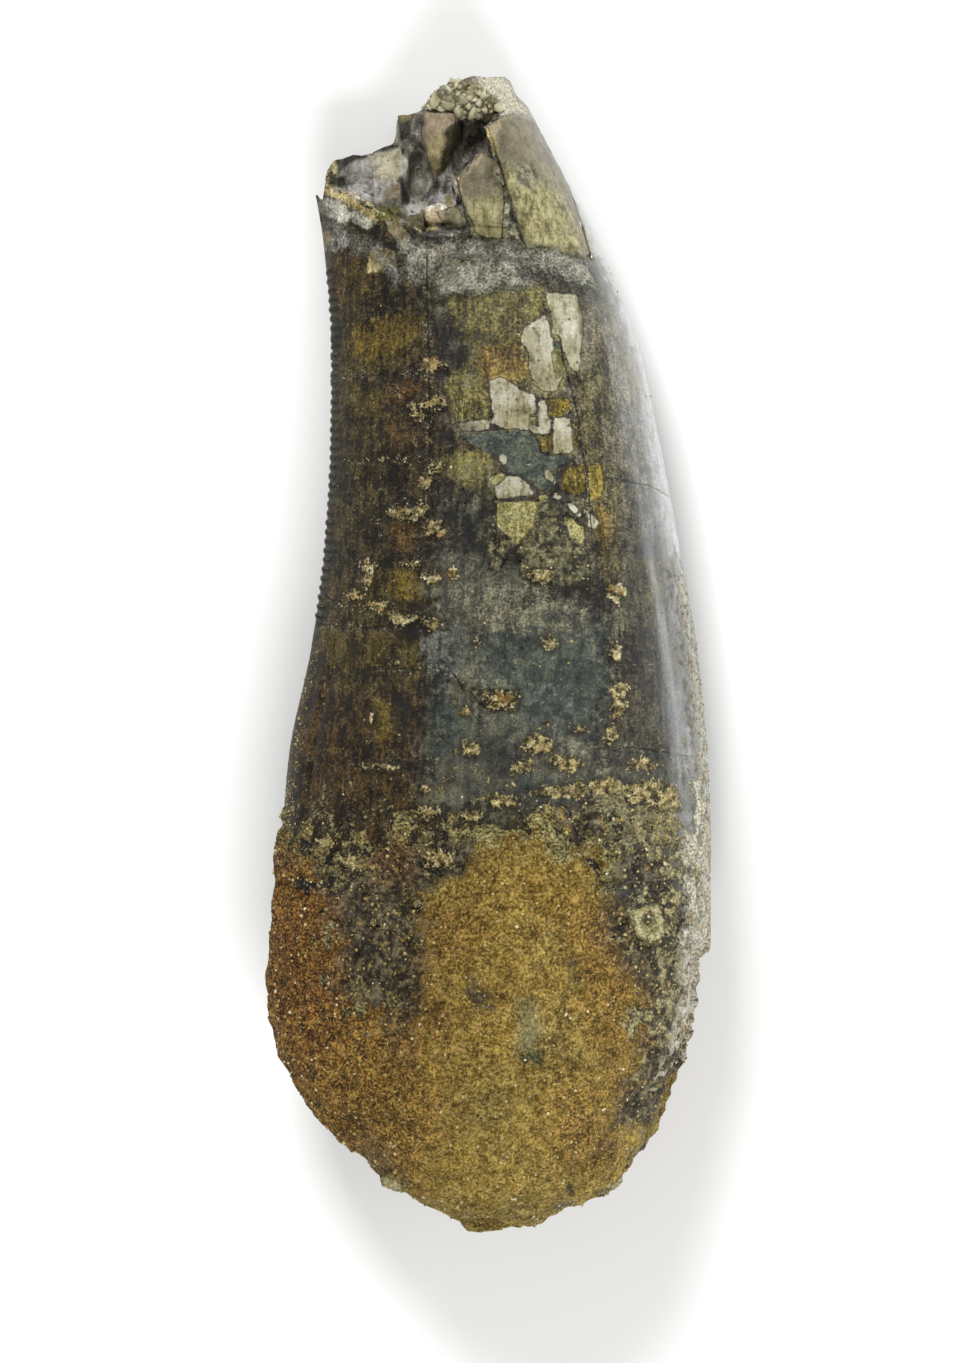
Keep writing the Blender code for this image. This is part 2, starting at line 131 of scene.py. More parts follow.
def on_tooth(points):
    """Places on the tooth, in millimetres, for pixels of the photograph."""
    pixels = np.asarray(points, float)
    return np.column_stack((
        (pixels[:, 0] - ORIGIN_PIXEL[0]) / PIXELS_PER_MM,
        (ORIGIN_PIXEL[1] - pixels[:, 1]) / PIXELS_PER_MM,
    ))


# Where layers of the surface are gone: how deep each lies, in millimetres, and its outline in photograph
# pixels.
PLATES = (
    (0.30, ((525, 250), (497, 165), (475, 118), (505, 95), (545, 105), (562, 165), (592, 258), (560, 248))),
    (0.70, ((471, 239), (455, 200), (450, 160), (490, 138), (497, 162), (510, 198), (524, 250), (490, 246))),
    (1.10, ((424, 232), (424, 204), (460, 200), (470, 238), (446, 231))),
    (0.65, ((396, 266), (396, 222), (525, 226), (526, 249), (560, 247), (592, 258), (560, 266), (507, 264),
            (485, 258), (450, 258), (430, 277))),
    (0.40, ((300, 216), (316, 217), (345, 228), (365, 242), (396, 268), (396, 180), (300, 180))),
)


class Paint:
    """A kind of patch: the pattern that it takes its shades from, its colours from dark to light, its
    outlines in photograph pixels, how much it covers, how ragged and soft its edge is, and its depth."""

    def __init__(self, name, grain, colours, outlines, strength, ragged, soft, sink=0.0):
        self.name = name
        self.grain = grain
        self.colours = colours
        self.outlines = outlines
        self.strength = strength
        self.ragged = ragged
        self.soft = soft
        self.sink = sink


# The patches on the enamel, on the broken tip and on the rock. Later ones lie over earlier ones.
ENAMEL_PAINTS = (
    Paint("umber", "enamel", ((0.003, 0.002, 0.001), (0.019, 0.010, 0.001), (0.075, 0.038, 0.007)), (
        ((385, 380), (402, 372), (430, 378), (432, 420), (432, 462), (398, 458), (385, 430)),
        ((330, 640), (380, 645), (425, 700), (430, 830), (320, 850), (300, 800), (305, 720)),
        ((440, 330), (470, 335), (468, 372), (440, 350)), ((335, 252), (372, 246), (366, 300), (330, 300)),
        ((385, 515), (470, 525), (465, 640), (440, 650), (395, 560)),
        ((395, 352), (424, 345), (420, 372), (405, 374)),
    ), strength=0.8, ragged=0.6, soft=0.6),
    Paint("dim_olive", "enamel", ((0.005, 0.003, 0.000), (0.025, 0.017, 0.002), (0.067, 0.047, 0.009)), (
        ((346, 322), (376, 319), (410, 312), (427, 318), (427, 350), (396, 374), (350, 373)),
        ((350, 262), (366, 272), (366, 312), (350, 310)),
        ((395, 560), (440, 565), (436, 620), (345, 612), (350, 590)),
        ((318, 632), (420, 634), (420, 690), (330, 690)), ((346, 455), (400, 455), (420, 470), (350, 480)),
        ((372, 690), (395, 700), (400, 740), (376, 745)), ((350, 380), (380, 382), (378, 440), (352, 440)),
    ), strength=0.9, ragged=0.30, soft=0.15),
    Paint("dim_ochre", "enamel", ((0.011, 0.006, 0.000), (0.061, 0.038, 0.003), (0.130, 0.090, 0.009)), (
        ((352, 334), (362, 325), (380, 322), (410, 315), (424, 320), (420, 338), (396, 352), (370, 362),
         (356, 352)),
        ((345, 590), (362, 590), (360, 602), (348, 602)), ((398, 572), (425, 572), (425, 600), (398, 600)),
        ((380, 700), (390, 700), (392, 765), (382, 765)), ((366, 254), (392, 250), (398, 266), (368, 272)),
    ), strength=0.85, ragged=0.5, soft=0.35),
    Paint("olive", "enamel", ((0.021, 0.016, 0.003), (0.083, 0.068, 0.013), (0.190, 0.167, 0.053)), (
        ((440, 264), (490, 259), (498, 285), (520, 300), (524, 345), (532, 384), (489, 386), (487, 423),
         (452, 422), (446, 384), (470, 360), (446, 300)),
        ((500, 285), (540, 290), (545, 316), (522, 330)), ((432, 462), (490, 452), (496, 500), (480, 500)),
        ((640, 560), (676, 560), (668, 620), (650, 620)),
    ), strength=0.9, ragged=0.6, soft=0.35),
    Paint("olive_strip", "enamel", ((0.013, 0.010, 0.002), (0.053, 0.043, 0.013), (0.120, 0.105, 0.045)), (
        ((582, 300), (600, 320), (616, 400), (622, 560), (606, 600), (592, 540), (585, 480), (576, 400)),
    ), strength=0.9, ragged=0.6, soft=0.35),
    Paint("ochre_stain", "enamel", ((0.031, 0.016, 0.001), (0.111, 0.066, 0.006), (0.221, 0.143, 0.025)), (
        ((480, 352), (516, 348), (528, 378), (500, 384), (484, 382)),
        ((597, 500), (609, 516), (607, 548), (597, 540)),
    ), strength=0.8, ragged=0.9, soft=0.5),
    Paint("slate", "worn", ((0.006, 0.006, 0.005), (0.043, 0.044, 0.029), (0.166, 0.163, 0.106)), (
        ((428, 610), (470, 596), (600, 600), (610, 700), (598, 800), (440, 812), (420, 760), (436, 690)),
        ((430, 545), (492, 540), (535, 580), (520, 620), (436, 625)),
        ((440, 500), (492, 490), (492, 548), (445, 545)),
        ((432, 300), (448, 330), (468, 340), (468, 372), (444, 350)),
        ((560, 270), (600, 268), (612, 300), (560, 290)), ((600, 850), (640, 850), (648, 900), (604, 905)),
        ((600, 740), (690, 750), (690, 800), (600, 790)),
    ), strength=0.9, ragged=1.9, soft=0.8),
    Paint("dark_teal", "worn", ((0.004, 0.006, 0.005), (0.021, 0.031, 0.023), (0.080, 0.092, 0.066)), (
        ((488, 630), (560, 610), (604, 628), (606, 690), (590, 730), (540, 740), (496, 720), (476, 680)),
        ((505, 760), (560, 752), (566, 790), (520, 798)), ((430, 700), (462, 690), (470, 740), (430, 760)),
    ), strength=0.75, ragged=0.9, soft=0.7),
    Paint("blue_slate", "mottled", ((0.008, 0.012, 0.013), (0.032, 0.040, 0.041), (0.088, 0.099, 0.095)), (
        ((432, 636), (456, 640), (454, 664), (440, 694), (434, 680)),
        ((540, 690), (560, 688), (566, 716), (546, 724)), ((604, 905), (620, 880), (640, 880), (636, 900)),
    ), strength=0.6, ragged=1.8, soft=0.7),
    Paint("grey_olive", "enamel", ((0.022, 0.020, 0.011), (0.076, 0.070, 0.042), (0.190, 0.178, 0.112)), (
        ((470, 600), (540, 596), (600, 606), (596, 626), (520, 628), (480, 640)),
        ((520, 742), (600, 736), (606, 768), (540, 778)), ((455, 690), (480, 684), (500, 700), (470, 716)),
        ((606, 610), (622, 612), (624, 740), (608, 744)),
    ), strength=0.7, ragged=1.4, soft=0.6),
    Paint("bronze", "enamel", ((0.004, 0.003, 0.001), (0.017, 0.013, 0.005), (0.043, 0.037, 0.015)), (
        ((624, 520), (664, 540), (684, 620), (686, 742), (622, 744), (618, 640), (626, 560)),
    ), strength=0.75, ragged=0.9, soft=0.8),
    Paint("teal_bed", "mottled", ((0.015, 0.019, 0.016), (0.034, 0.043, 0.030), (0.069, 0.080, 0.056)), (
        ((460, 434), (488, 434), (526, 431), (536, 443), (540, 455), (546, 459), (571, 457), (575, 461),
         (556, 470), (556, 480), (554, 490), (546, 496), (538, 492), (522, 478), (507, 476), (501, 460),
         (489, 457), (475, 449), (462, 441)),
        ((527, 418), (537, 420), (537, 430), (530, 428)), ((551, 345), (558, 345), (562, 355), (554, 357)),
    ), strength=1.0, ragged=0.1, soft=0.05, sink=0.10),
    Paint("pale", "smooth", ((0.183, 0.160, 0.068), (0.408, 0.381, 0.267), (0.570, 0.546, 0.442)), (
        ((523, 331), (545, 318), (549, 330), (552, 345), (554, 357), (562, 362), (566, 372), (560, 384),
         (557, 394), (550, 396), (533, 388), (530, 376), (527, 357), (521, 345)),
        ((544, 294), (559, 296), (578, 298), (582, 322), (581, 347), (578, 376), (572, 374), (566, 362),
         (560, 348), (558, 338), (552, 335), (549, 311)),
        ((489, 384), (501, 380), (516, 390), (534, 399), (536, 415), (528, 418), (529, 427), (538, 428),
         (540, 436), (500, 431), (488, 424), (493, 421)),
        ((451, 425), (456, 424), (462, 427), (475, 424), (488, 423), (492, 432), (480, 434), (462, 434)),
        ((538, 402), (546, 402), (546, 414), (550, 424), (548, 436), (539, 437), (537, 420)),
        ((552, 421), (570, 421), (572, 438), (571, 455), (552, 458)),
        ((500, 456), (505, 458), (507, 464), (504, 468), (499, 464)),
        ((522, 467), (531, 464), (532, 468), (527, 471)),
        ((542, 470), (549, 472), (555, 484), (554, 488), (545, 483)),
        ((549, 497), (556, 496), (563, 502), (555, 504)),
        ((495, 489), (507, 479), (518, 480), (523, 482), (532, 492), (534, 498), (518, 500), (496, 501)),
        ((583, 510), (597, 522), (595, 531), (587, 531)),
        ((563, 506), (572, 506), (581, 517), (579, 521), (570, 514)),
    ), strength=1.0, ragged=0.18, soft=0.05, sink=0.05),
    Paint("faded", "smooth", ((0.053, 0.042, 0.008), (0.200, 0.173, 0.060), (0.357, 0.326, 0.150)), (
        ((530, 372), (545, 366), (562, 360), (566, 374), (558, 396), (546, 397), (532, 390)),
        ((562, 340), (572, 344), (578, 376), (570, 374)), ((546, 296), (554, 300), (560, 345), (552, 338)),
        ((500, 414), (520, 408), (534, 412), (536, 430), (504, 430)),
        ((552, 440), (572, 438), (571, 456), (552, 458)), ((524, 340), (534, 336), (532, 372), (526, 360)),
    ), strength=0.65, ragged=0.6, soft=0.5),
    Paint("haze", "enamel", ((0.038, 0.032, 0.015), (0.092, 0.080, 0.048), (0.154, 0.140, 0.094)), (
        ((578, 296), (592, 310), (600, 335), (594, 360), (580, 380)),
        ((602, 300), (616, 306), (640, 380), (640, 416), (612, 410), (604, 350)),
        ((444, 420), (470, 425), (490, 437), (455, 437)), ((600, 420), (628, 440), (625, 470), (604, 465)),
        ((612, 330), (636, 350), (640, 400), (620, 380)),
    ), strength=0.8, ragged=0.4, soft=0.3),
    Paint("yellow", "enamel", ((0.077, 0.067, 0.013), (0.178, 0.158, 0.050), (0.301, 0.282, 0.125)), (
        ((496, 505), (542, 503), (541, 515), (537, 525), (542, 539), (530, 547), (511, 547), (507, 537),
         (495, 528)),
        ((488, 480), (500, 476), (508, 480), (494, 490)), ((550, 355), (560, 352), (566, 372), (556, 384)),
        ((561, 518), (573, 523), (583, 531), (583, 551), (571, 543), (564, 525)),
        ((536, 500), (545, 497), (548, 503), (540, 508)),
    ), strength=0.95, ragged=0.15, soft=0.06, sink=0.04),
    Paint("gold", "enamel", ((0.030, 0.021, 0.002), (0.105, 0.072, 0.006), (0.226, 0.172, 0.024)), (
        ((547, 402), (568, 402), (570, 413), (560, 421), (547, 420)),
        ((536, 437), (552, 436), (553, 454), (541, 454)), ((572, 424), (577, 427), (577, 447), (573, 452)),
        ((567, 470), (582, 466), (585, 494), (571, 497), (560, 490), (562, 478)),
        ((587, 468), (601, 468), (602, 492), (598, 502), (588, 504)),
    ), strength=0.95, ragged=0.15, soft=0.06, sink=0.03),
    Paint("granular", "clumps", ((0.016, 0.017, 0.010), (0.091, 0.086, 0.043), (0.264, 0.242, 0.132)), (
        ((540, 508), (556, 506), (562, 535), (590, 555), (593, 580), (562, 588), (520, 578), (518, 551),
         (534, 530)),
        ((487, 543), (509, 541), (507, 561), (493, 576), (491, 555)),
        ((526, 574), (552, 570), (552, 584), (530, 584)), ((470, 690), (520, 692), (518, 712), (486, 708)),
    ), strength=0.9, ragged=0.5, soft=0.2),
)
CRUMB_HEAP = (
    ((425, 108), (436, 94), (450, 84), (468, 84), (497, 100), (496, 114), (470, 115), (455, 112), (440, 110)),
)
TIP_PAINTS = (
    # Painted shade: dark patches in the hollow's recesses, in the gaps beside the chunk and under the front
    # rim.
    Paint("cavity", "worn", ((0.010, 0.010, 0.008), (0.105, 0.100, 0.082), (0.527, 0.522, 0.465)), (
        ((462, 116), (492, 112), (488, 128), (484, 142), (470, 160), (458, 172), (452, 186), (440, 186),
         (434, 176), (452, 160), (459, 140)),
        ((410, 118), (424, 112), (422, 140), (428, 160), (434, 178), (428, 190), (414, 170), (408, 150)),
        ((398, 160), (412, 152), (424, 176), (440, 186), (456, 176), (458, 192), (452, 204), (430, 212),
         (408, 208), (400, 190)),
        ((454, 192), (460, 204), (470, 234), (462, 226), (456, 206)),
        ((424, 230), (462, 226), (470, 236), (430, 238)),
        ((316, 214), (334, 218), (344, 230), (352, 240), (346, 247), (330, 251), (318, 246)),
        ((322, 166), (340, 153), (352, 150), (350, 172), (346, 188), (330, 190)),
    ), strength=1.0, ragged=0.25, soft=0.2),
    Paint("grey_wall", "worn", ((0.161, 0.147, 0.121), (0.489, 0.462, 0.393), (0.736, 0.727, 0.718)), (
        ((345, 154), (372, 145), (396, 143), (404, 150), (408, 168), (402, 188), (384, 198), (368, 204),
         (350, 196), (346, 176)),
        ((404, 206), (430, 198), (452, 190), (456, 200), (440, 214), (412, 218)),
        ((450, 119), (462, 116), (476, 124), (470, 150), (460, 166), (453, 158), (458, 140)),
    ), strength=0.95, ragged=0.25, soft=0.2),
    Paint("beige_wall", "worn", ((0.200, 0.170, 0.085), (0.480, 0.427, 0.274), (0.613, 0.596, 0.454)), (
        ((374, 151), (398, 147), (403, 164), (396, 180), (382, 180), (374, 166)),
    ), strength=0.8, ragged=0.2, soft=0.3),
    # Lilac-grey facets with painted highlights on them.
    Paint("lilac", "worn", ((0.186, 0.170, 0.162), (0.466, 0.438, 0.423), (0.699, 0.673, 0.658)), (
        ((351, 160), (366, 157), (373, 176), (367, 196), (354, 196), (350, 178)),
        ((426, 196), (440, 190), (450, 196), (440, 206), (428, 206)),
        ((376, 180), (392, 180), (388, 196), (376, 200)),
    ), strength=0.8, ragged=0.35, soft=0.25),
    Paint("front_wall", "worn", ((0.090, 0.088, 0.070), (0.280, 0.275, 0.225), (0.470, 0.460, 0.390)), (
        ((317, 194), (330, 197), (344, 203), (352, 214), (346, 224), (330, 217), (317, 212)),
        ((352, 206), (362, 212), (374, 223), (366, 229), (352, 222)),
    ), strength=0.95, ragged=0.25, soft=0.2),
    # Painted shade: near-black gaps beside the chunk, under the upper-left rim and on the small block.
    Paint("black", "worn", ((0.003, 0.003, 0.002), (0.014, 0.013, 0.009), (0.070, 0.064, 0.046)), (
        ((322, 166), (340, 153), (372, 147), (396, 141), (398, 145), (374, 151), (350, 160), (338, 172),
         (326, 182)),
        ((398, 121), (410, 118), (408, 136), (399, 140)),
        ((420, 120), (425, 110), (424, 148), (430, 168), (421, 150)),
        ((459, 118), (466, 116), (462, 140), (458, 150)), ((434, 176), (442, 180), (436, 190), (430, 184)),
        ((488, 142), (494, 142), (495, 160), (488, 152)), ((398, 176), (404, 172), (408, 200), (400, 204)),
    ), strength=0.95, ragged=0.25, soft=0.15),
    Paint("dentine", "worn", ((0.099, 0.082, 0.035), (0.207, 0.188, 0.099), (0.333, 0.311, 0.203)), (
        ((487, 127), (500, 119), (515, 114), (536, 118), (552, 150), (566, 175), (581, 215), (592, 262),
         (545, 249), (526, 250), (516, 222), (505, 180), (497, 160), (494, 145)),
        ((457, 195), (460, 182), (474, 162), (484, 148), (490, 160), (498, 166), (504, 195), (502, 242),
         (478, 238), (463, 206)),
        ((407, 215), (424, 212), (424, 230), (408, 226)),
        ((436, 214), (457, 208), (466, 222), (464, 232), (448, 230)),
        ((395, 112), (401, 110), (415, 112), (411, 118), (398, 120)),
        ((382, 216), (392, 217), (404, 229), (413, 240), (409, 252), (400, 248), (390, 233)),
    ), strength=1.0, ragged=0.12, soft=0.05),
    Paint("grey_dentine", "worn", ((0.089, 0.074, 0.045), (0.180, 0.153, 0.097), (0.278, 0.244, 0.162)), (
        ((500, 119), (515, 114), (536, 118), (556, 150), (566, 176), (550, 166), (532, 160), (516, 168),
         (503, 164), (497, 140)),
        ((457, 190), (474, 162), (484, 150), (490, 160), (498, 166), (502, 190), (482, 196), (463, 200)),
        ((576, 200), (590, 240), (596, 268), (584, 262), (572, 215)),
    ), strength=0.85, ragged=0.3, soft=0.3),
    Paint("warm_dentine", "streaks", ((0.132, 0.109, 0.031), (0.356, 0.312, 0.130), (0.569, 0.516, 0.267)), (
        ((466, 208), (504, 200), (503, 240), (478, 236)),
        ((503, 168), (530, 180), (560, 196), (590, 258), (545, 248), (528, 248), (512, 200)),
    ), strength=0.65, ragged=0.6, soft=0.6),
    Paint("specked", "clumps", ((0.021, 0.019, 0.013), (0.138, 0.125, 0.085), (0.360, 0.334, 0.223)), (
        ((514, 166), (534, 164), (540, 178), (530, 192), (516, 184)),
        ((500, 196), (506, 196), (526, 250), (508, 248)), ((492, 170), (500, 172), (502, 184), (496, 190)),
    ), strength=0.75, ragged=0.4, soft=0.3),
    Paint("pink", "worn", ((0.195, 0.131, 0.072), (0.340, 0.263, 0.166), (0.506, 0.430, 0.311)), (
        ((422, 112), (436, 108), (463, 114), (460, 120), (448, 127), (440, 131), (431, 140), (427, 150),
         (422, 140)),
        ((483, 138), (487, 126), (498, 120), (506, 118), (500, 130), (492, 142)),
        ((424, 212), (438, 208), (448, 214), (442, 226), (431, 231)),
        ((456, 180), (462, 173), (470, 171), (480, 150), (485, 152), (476, 170), (464, 182), (461, 196),
         (456, 192)),
        ((388, 222), (398, 228), (404, 240), (396, 236)),
        ((432, 246), (439, 248), (449, 255), (446, 264), (438, 266)),
        ((380, 190), (392, 182), (400, 184), (396, 196), (384, 200)),
    ), strength=0.85, ragged=0.2, soft=0.12),
    # Painted light: the chunk's left face, painted lighter as its lit side.
    Paint("chunk_light", "worn", ((0.120, 0.095, 0.030), (0.300, 0.250, 0.110), (0.520, 0.450, 0.240)), (
        ((427, 150), (431, 140), (440, 131), (444, 131), (441, 150), (438, 166), (434, 177), (430, 166)),
        ((444, 194), (450, 192), (453, 200), (446, 204)),
    ), strength=0.95, ragged=0.12, soft=0.06),
    # Painted shade: the chunk's right face, painted darker as its shaded side.
    Paint("chunk_dark", "worn", ((0.016, 0.014, 0.005), (0.070, 0.062, 0.026), (0.190, 0.170, 0.090)), (
        ((444, 131), (449, 127), (460, 119), (459, 140), (452, 160), (440, 173), (436, 177), (441, 150)),
    ), strength=0.95, ragged=0.15, soft=0.08),
    # Ochre rims on the broken edges: partly their own colour, partly painted highlight on the lit top edges.
    Paint("tip_ochre", "worn", ((0.090, 0.064, 0.018), (0.310, 0.252, 0.110), (0.560, 0.480, 0.270)), (
        ((317, 186), (330, 188), (346, 193), (362, 203), (372, 212), (380, 223), (371, 221), (357, 210),
         (344, 201), (330, 195), (317, 192)),
        ((396, 112), (401, 110), (414, 112), (408, 115), (398, 117)),
        ((368, 252), (380, 248), (394, 252), (398, 266), (384, 270), (368, 274)),
        ((441, 134), (444, 131), (443, 148), (440, 166), (437, 174), (440, 150)),
        ((384, 214), (392, 214), (404, 226), (398, 228)),
        ((484, 130), (490, 127), (496, 138), (499, 152), (495, 156), (490, 143)),
        ((446, 196), (450, 193), (452, 203), (446, 205)), ((322, 232), (330, 228), (330, 244), (322, 244)),
        ((424, 229), (440, 226), (436, 232), (426, 233)),
    ), strength=0.9, ragged=0.2, soft=0.1),
    Paint("moss", "fine", ((0.030, 0.034, 0.005), (0.110, 0.110, 0.022), (0.260, 0.247, 0.084)), (
        ((370, 207), (385, 202), (400, 205), (404, 214), (396, 221), (380, 220)),
        ((485, 96), (496, 100), (490, 108), (478, 104)),
    ), strength=0.9, ragged=0.3, soft=0.2),
    Paint("summit", "fine", ((0.364, 0.332, 0.208), (0.595, 0.555, 0.407), (0.794, 0.761, 0.651)), (
        ((455, 84), (470, 78), (500, 73), (514, 78), (516, 94), (538, 112), (538, 119), (515, 114),
         (500, 119), (496, 100), (480, 92), (466, 92)),
    ), strength=0.9, ragged=0.4, soft=0.3),
    Paint("crumbs", "lumps", ((0.159, 0.134, 0.052), (0.480, 0.430, 0.245), (0.720, 0.690, 0.560)),
          CRUMB_HEAP, strength=0.95, ragged=0.3, soft=0.2),
    Paint("frost", "frosted", ((0.111, 0.109, 0.080), (0.308, 0.300, 0.235), (0.567, 0.557, 0.458)), (
        ((400, 240), (430, 244), (500, 244), (526, 251), (560, 252), (592, 263), (596, 290), (560, 280),
         (505, 262), (450, 262), (428, 286), (405, 278)),
        ((352, 236), (372, 244), (400, 262), (398, 282), (372, 252), (356, 248)),
        ((436, 262), (520, 262), (530, 290), (436, 300)),
    ), strength=0.75, ragged=0.6, soft=0.5),
)
ROCK_PAINTS = (
    Paint("veil", "stone", ((0.014, 0.013, 0.005), (0.123, 0.105, 0.040), (0.446, 0.402, 0.177)), (
        ((240, 740), (330, 790), (420, 770), (500, 760), (600, 740), (730, 740), (730, 900), (610, 900),
         (590, 850), (530, 836), (470, 850), (440, 900), (410, 880), (330, 880), (240, 840)),
    ), strength=0.95, ragged=2.2, soft=0.5),
    Paint("window", "mottled", ((0.007, 0.007, 0.005), (0.036, 0.031, 0.021), (0.168, 0.143, 0.086)), (
        ((300, 852), (352, 866), (420, 836), (470, 836), (468, 858), (440, 880), (426, 900), (430, 940),
         (432, 962), (424, 1000), (410, 1060), (394, 1060), (386, 1004), (330, 985), (334, 958), (346, 940),
         (320, 900)),
        ((602, 800), (650, 792), (700, 820), (706, 940), (690, 1010), (684, 1060), (650, 1116), (604, 1126),
         (640, 1050), (644, 1000), (610, 960), (592, 930), (600, 900), (620, 862)),
        ((570, 1156), (600, 1128), (606, 1136), (578, 1160)),
        ((630, 1150), (650, 1132), (655, 1140), (640, 1158)),
        ((358, 1156), (366, 1128), (396, 1136), (398, 1164), (376, 1172)),
        ((470, 986), (482, 984), (490, 992), (484, 1002), (472, 998)),
        ((558, 951), (566, 948), (572, 956), (566, 962)),
        ((556, 1206), (566, 1196), (574, 1204), (562, 1220)),
        ((560, 800), (600, 795), (640, 800), (636, 830), (600, 838), (566, 824)),
    ), strength=0.94, ragged=1.7, soft=0.16, sink=0.15),
    Paint("russet", "stone", ((0.016, 0.006, 0.003), (0.105, 0.043, 0.009), (0.357, 0.162, 0.043)), (
        ((250, 830), (300, 840), (330, 900), (352, 980), (300, 1010), (262, 980)),
        ((262, 940), (330, 960), (350, 1050), (300, 1090), (262, 1000)),
        ((430, 990), (458, 1000), (440, 1040), (420, 1020)), ((380, 830), (420, 840), (410, 870), (370, 860)),
    ), strength=0.6, ragged=1.6, soft=1.6),
    Paint("brown", "stone", ((0.029, 0.015, 0.002), (0.156, 0.082, 0.013), (0.452, 0.255, 0.059)), (
        ((330, 1030), (420, 1020), (450, 1100), (430, 1190), (370, 1180), (300, 1100)),
        ((430, 900), (470, 900), (470, 960), (430, 970)),
        ((552, 1090), (598, 1086), (608, 1130), (598, 1170), (560, 1166), (546, 1124)),
        ((560, 900), (600, 900), (640, 1010), (620, 1080), (590, 1000)),
        ((262, 1000), (320, 1060), (340, 1130), (290, 1090)),
    ), strength=0.7, ragged=1.8, soft=1.8),
    Paint("cream_lump", "stone", ((0.170, 0.145, 0.055), (0.430, 0.390, 0.190), (0.640, 0.600, 0.370)), (
        ((626, 908), (640, 901), (656, 903), (663, 918), (660, 932), (646, 939), (632, 932)),
        ((650, 846), (658, 844), (662, 852), (656, 858), (650, 854)),
        ((386, 1170), (410, 1176), (402, 1186), (384, 1182)),
        ((596, 1190), (640, 1160), (676, 1110), (692, 1050), (700, 1060), (690, 1120), (650, 1170),
         (606, 1204)),
    ), strength=0.9, ragged=0.4, soft=0.25, sink=-0.30),
    Paint("cream_crust", "stone", ((0.045, 0.039, 0.014), (0.234, 0.207, 0.094), (0.504, 0.453, 0.242)), (
        ((590, 740), (712, 745), (716, 850), (700, 900), (672, 880), (650, 850), (610, 832)),
        ((676, 940), (690, 950), (696, 1010), (688, 1060), (680, 1040), (682, 990)),
    ), strength=0.55, ragged=2.0, soft=0.5),
    Paint("green_bar", "fine", ((0.154, 0.149, 0.060), (0.259, 0.248, 0.115), (0.363, 0.352, 0.190)), (
        ((518, 992), (536, 996), (540, 1030), (534, 1050), (516, 1046)),
    ), strength=0.75, ragged=0.5, soft=0.6),
    Paint("dark_green", "fine", ((0.008, 0.012, 0.006), (0.030, 0.042, 0.020), (0.080, 0.090, 0.050)), (
        ((520, 1044), (543, 1044), (543, 1058), (522, 1056)),
        ((568, 1180), (576, 1182), (574, 1189), (566, 1188)),
        ((632, 893), (645, 895), (642, 902), (634, 901)),
        ((640, 910), (650, 911), (652, 919), (645, 925), (637, 920)),
    ), strength=0.8, ragged=0.3, soft=0.25, sink=0.2),
)

# Sand that sticks to the enamel: centre and half sizes, in photograph pixels.
SAND_SPOTS = (
    (428, 480, 7, 10), (442, 469, 6, 5), (406, 515, 17, 6), (434, 531, 9, 7), (410, 564, 9, 5),
    (433, 579, 10, 6), (370, 566, 8, 4), (369, 581, 5, 6), (354, 594, 8, 5), (454, 576, 5, 5),
    (378, 606, 12, 4), (404, 619, 14, 4), (434, 624, 10, 5), (424, 512, 5, 6), (391, 461, 18, 2),
    (435, 405, 12, 8), (432, 366, 12, 9), (412, 406, 4, 4), (420, 418, 8, 5), (540, 576, 12, 7),
    (614, 593, 11, 8), (613, 653, 6, 8), (548, 643, 7, 6), (500, 700, 14, 9), (471, 748, 10, 8),
    (616, 708, 9, 11), (381, 766, 12, 3), (425, 788, 4, 4), (448, 778, 4, 5), (428, 810, 11, 6),
    (538, 744, 13, 9), (566, 763, 17, 8), (578, 730, 9, 5), (638, 763, 16, 6), (520, 765, 10, 5),
    (560, 790, 30, 7), (600, 785, 16, 9), (640, 790, 20, 12), (665, 800, 12, 16), (440, 855, 18, 9),
    (400, 845, 12, 10), (477, 642, 3, 3), (461, 686, 3, 4), (545, 724, 4, 3), (466, 711, 4, 4),
    (395, 660, 3, 3), (372, 716, 3, 4), (505, 800, 14, 6), (470, 815, 10, 6), (610, 735, 8, 6),
    (618, 690, 8, 6), (360, 860, 16, 8), (330, 840, 9, 7),
)

# Cracks, as lines in photograph pixels.
CRACKS = (
    ((560, 341), (562, 362), (567, 378), (573, 402), (577, 419), (579, 439), (583, 464), (587, 484),
     (588, 504), (590, 529)),
    ((346, 376), (392, 377), (428, 374), (453, 377)), ((346, 461), (380, 459), (415, 461)),
    ((319, 624), (362, 629), (400, 626), (445, 631)),
    ((372, 668), (420, 670), (440, 668), (455, 675), (463, 688)),
    ((605, 480), (630, 484), (650, 487), (668, 496)),
    ((535, 118), (550, 145), (565, 170), (580, 215), (592, 262)),
    ((497, 160), (508, 200), (520, 240), (526, 250)), ((390, 386), (408, 400), (429, 425)),
    ((427, 260), (428, 330), (430, 420), (428, 560)), ((496, 501), (496, 530), (494, 545)),
    ((380, 508), (382, 535)), ((327, 597), (345, 606)), ((620, 745), (650, 749), (690, 756)),
    ((457, 181), (463, 210), (470, 238)),
)

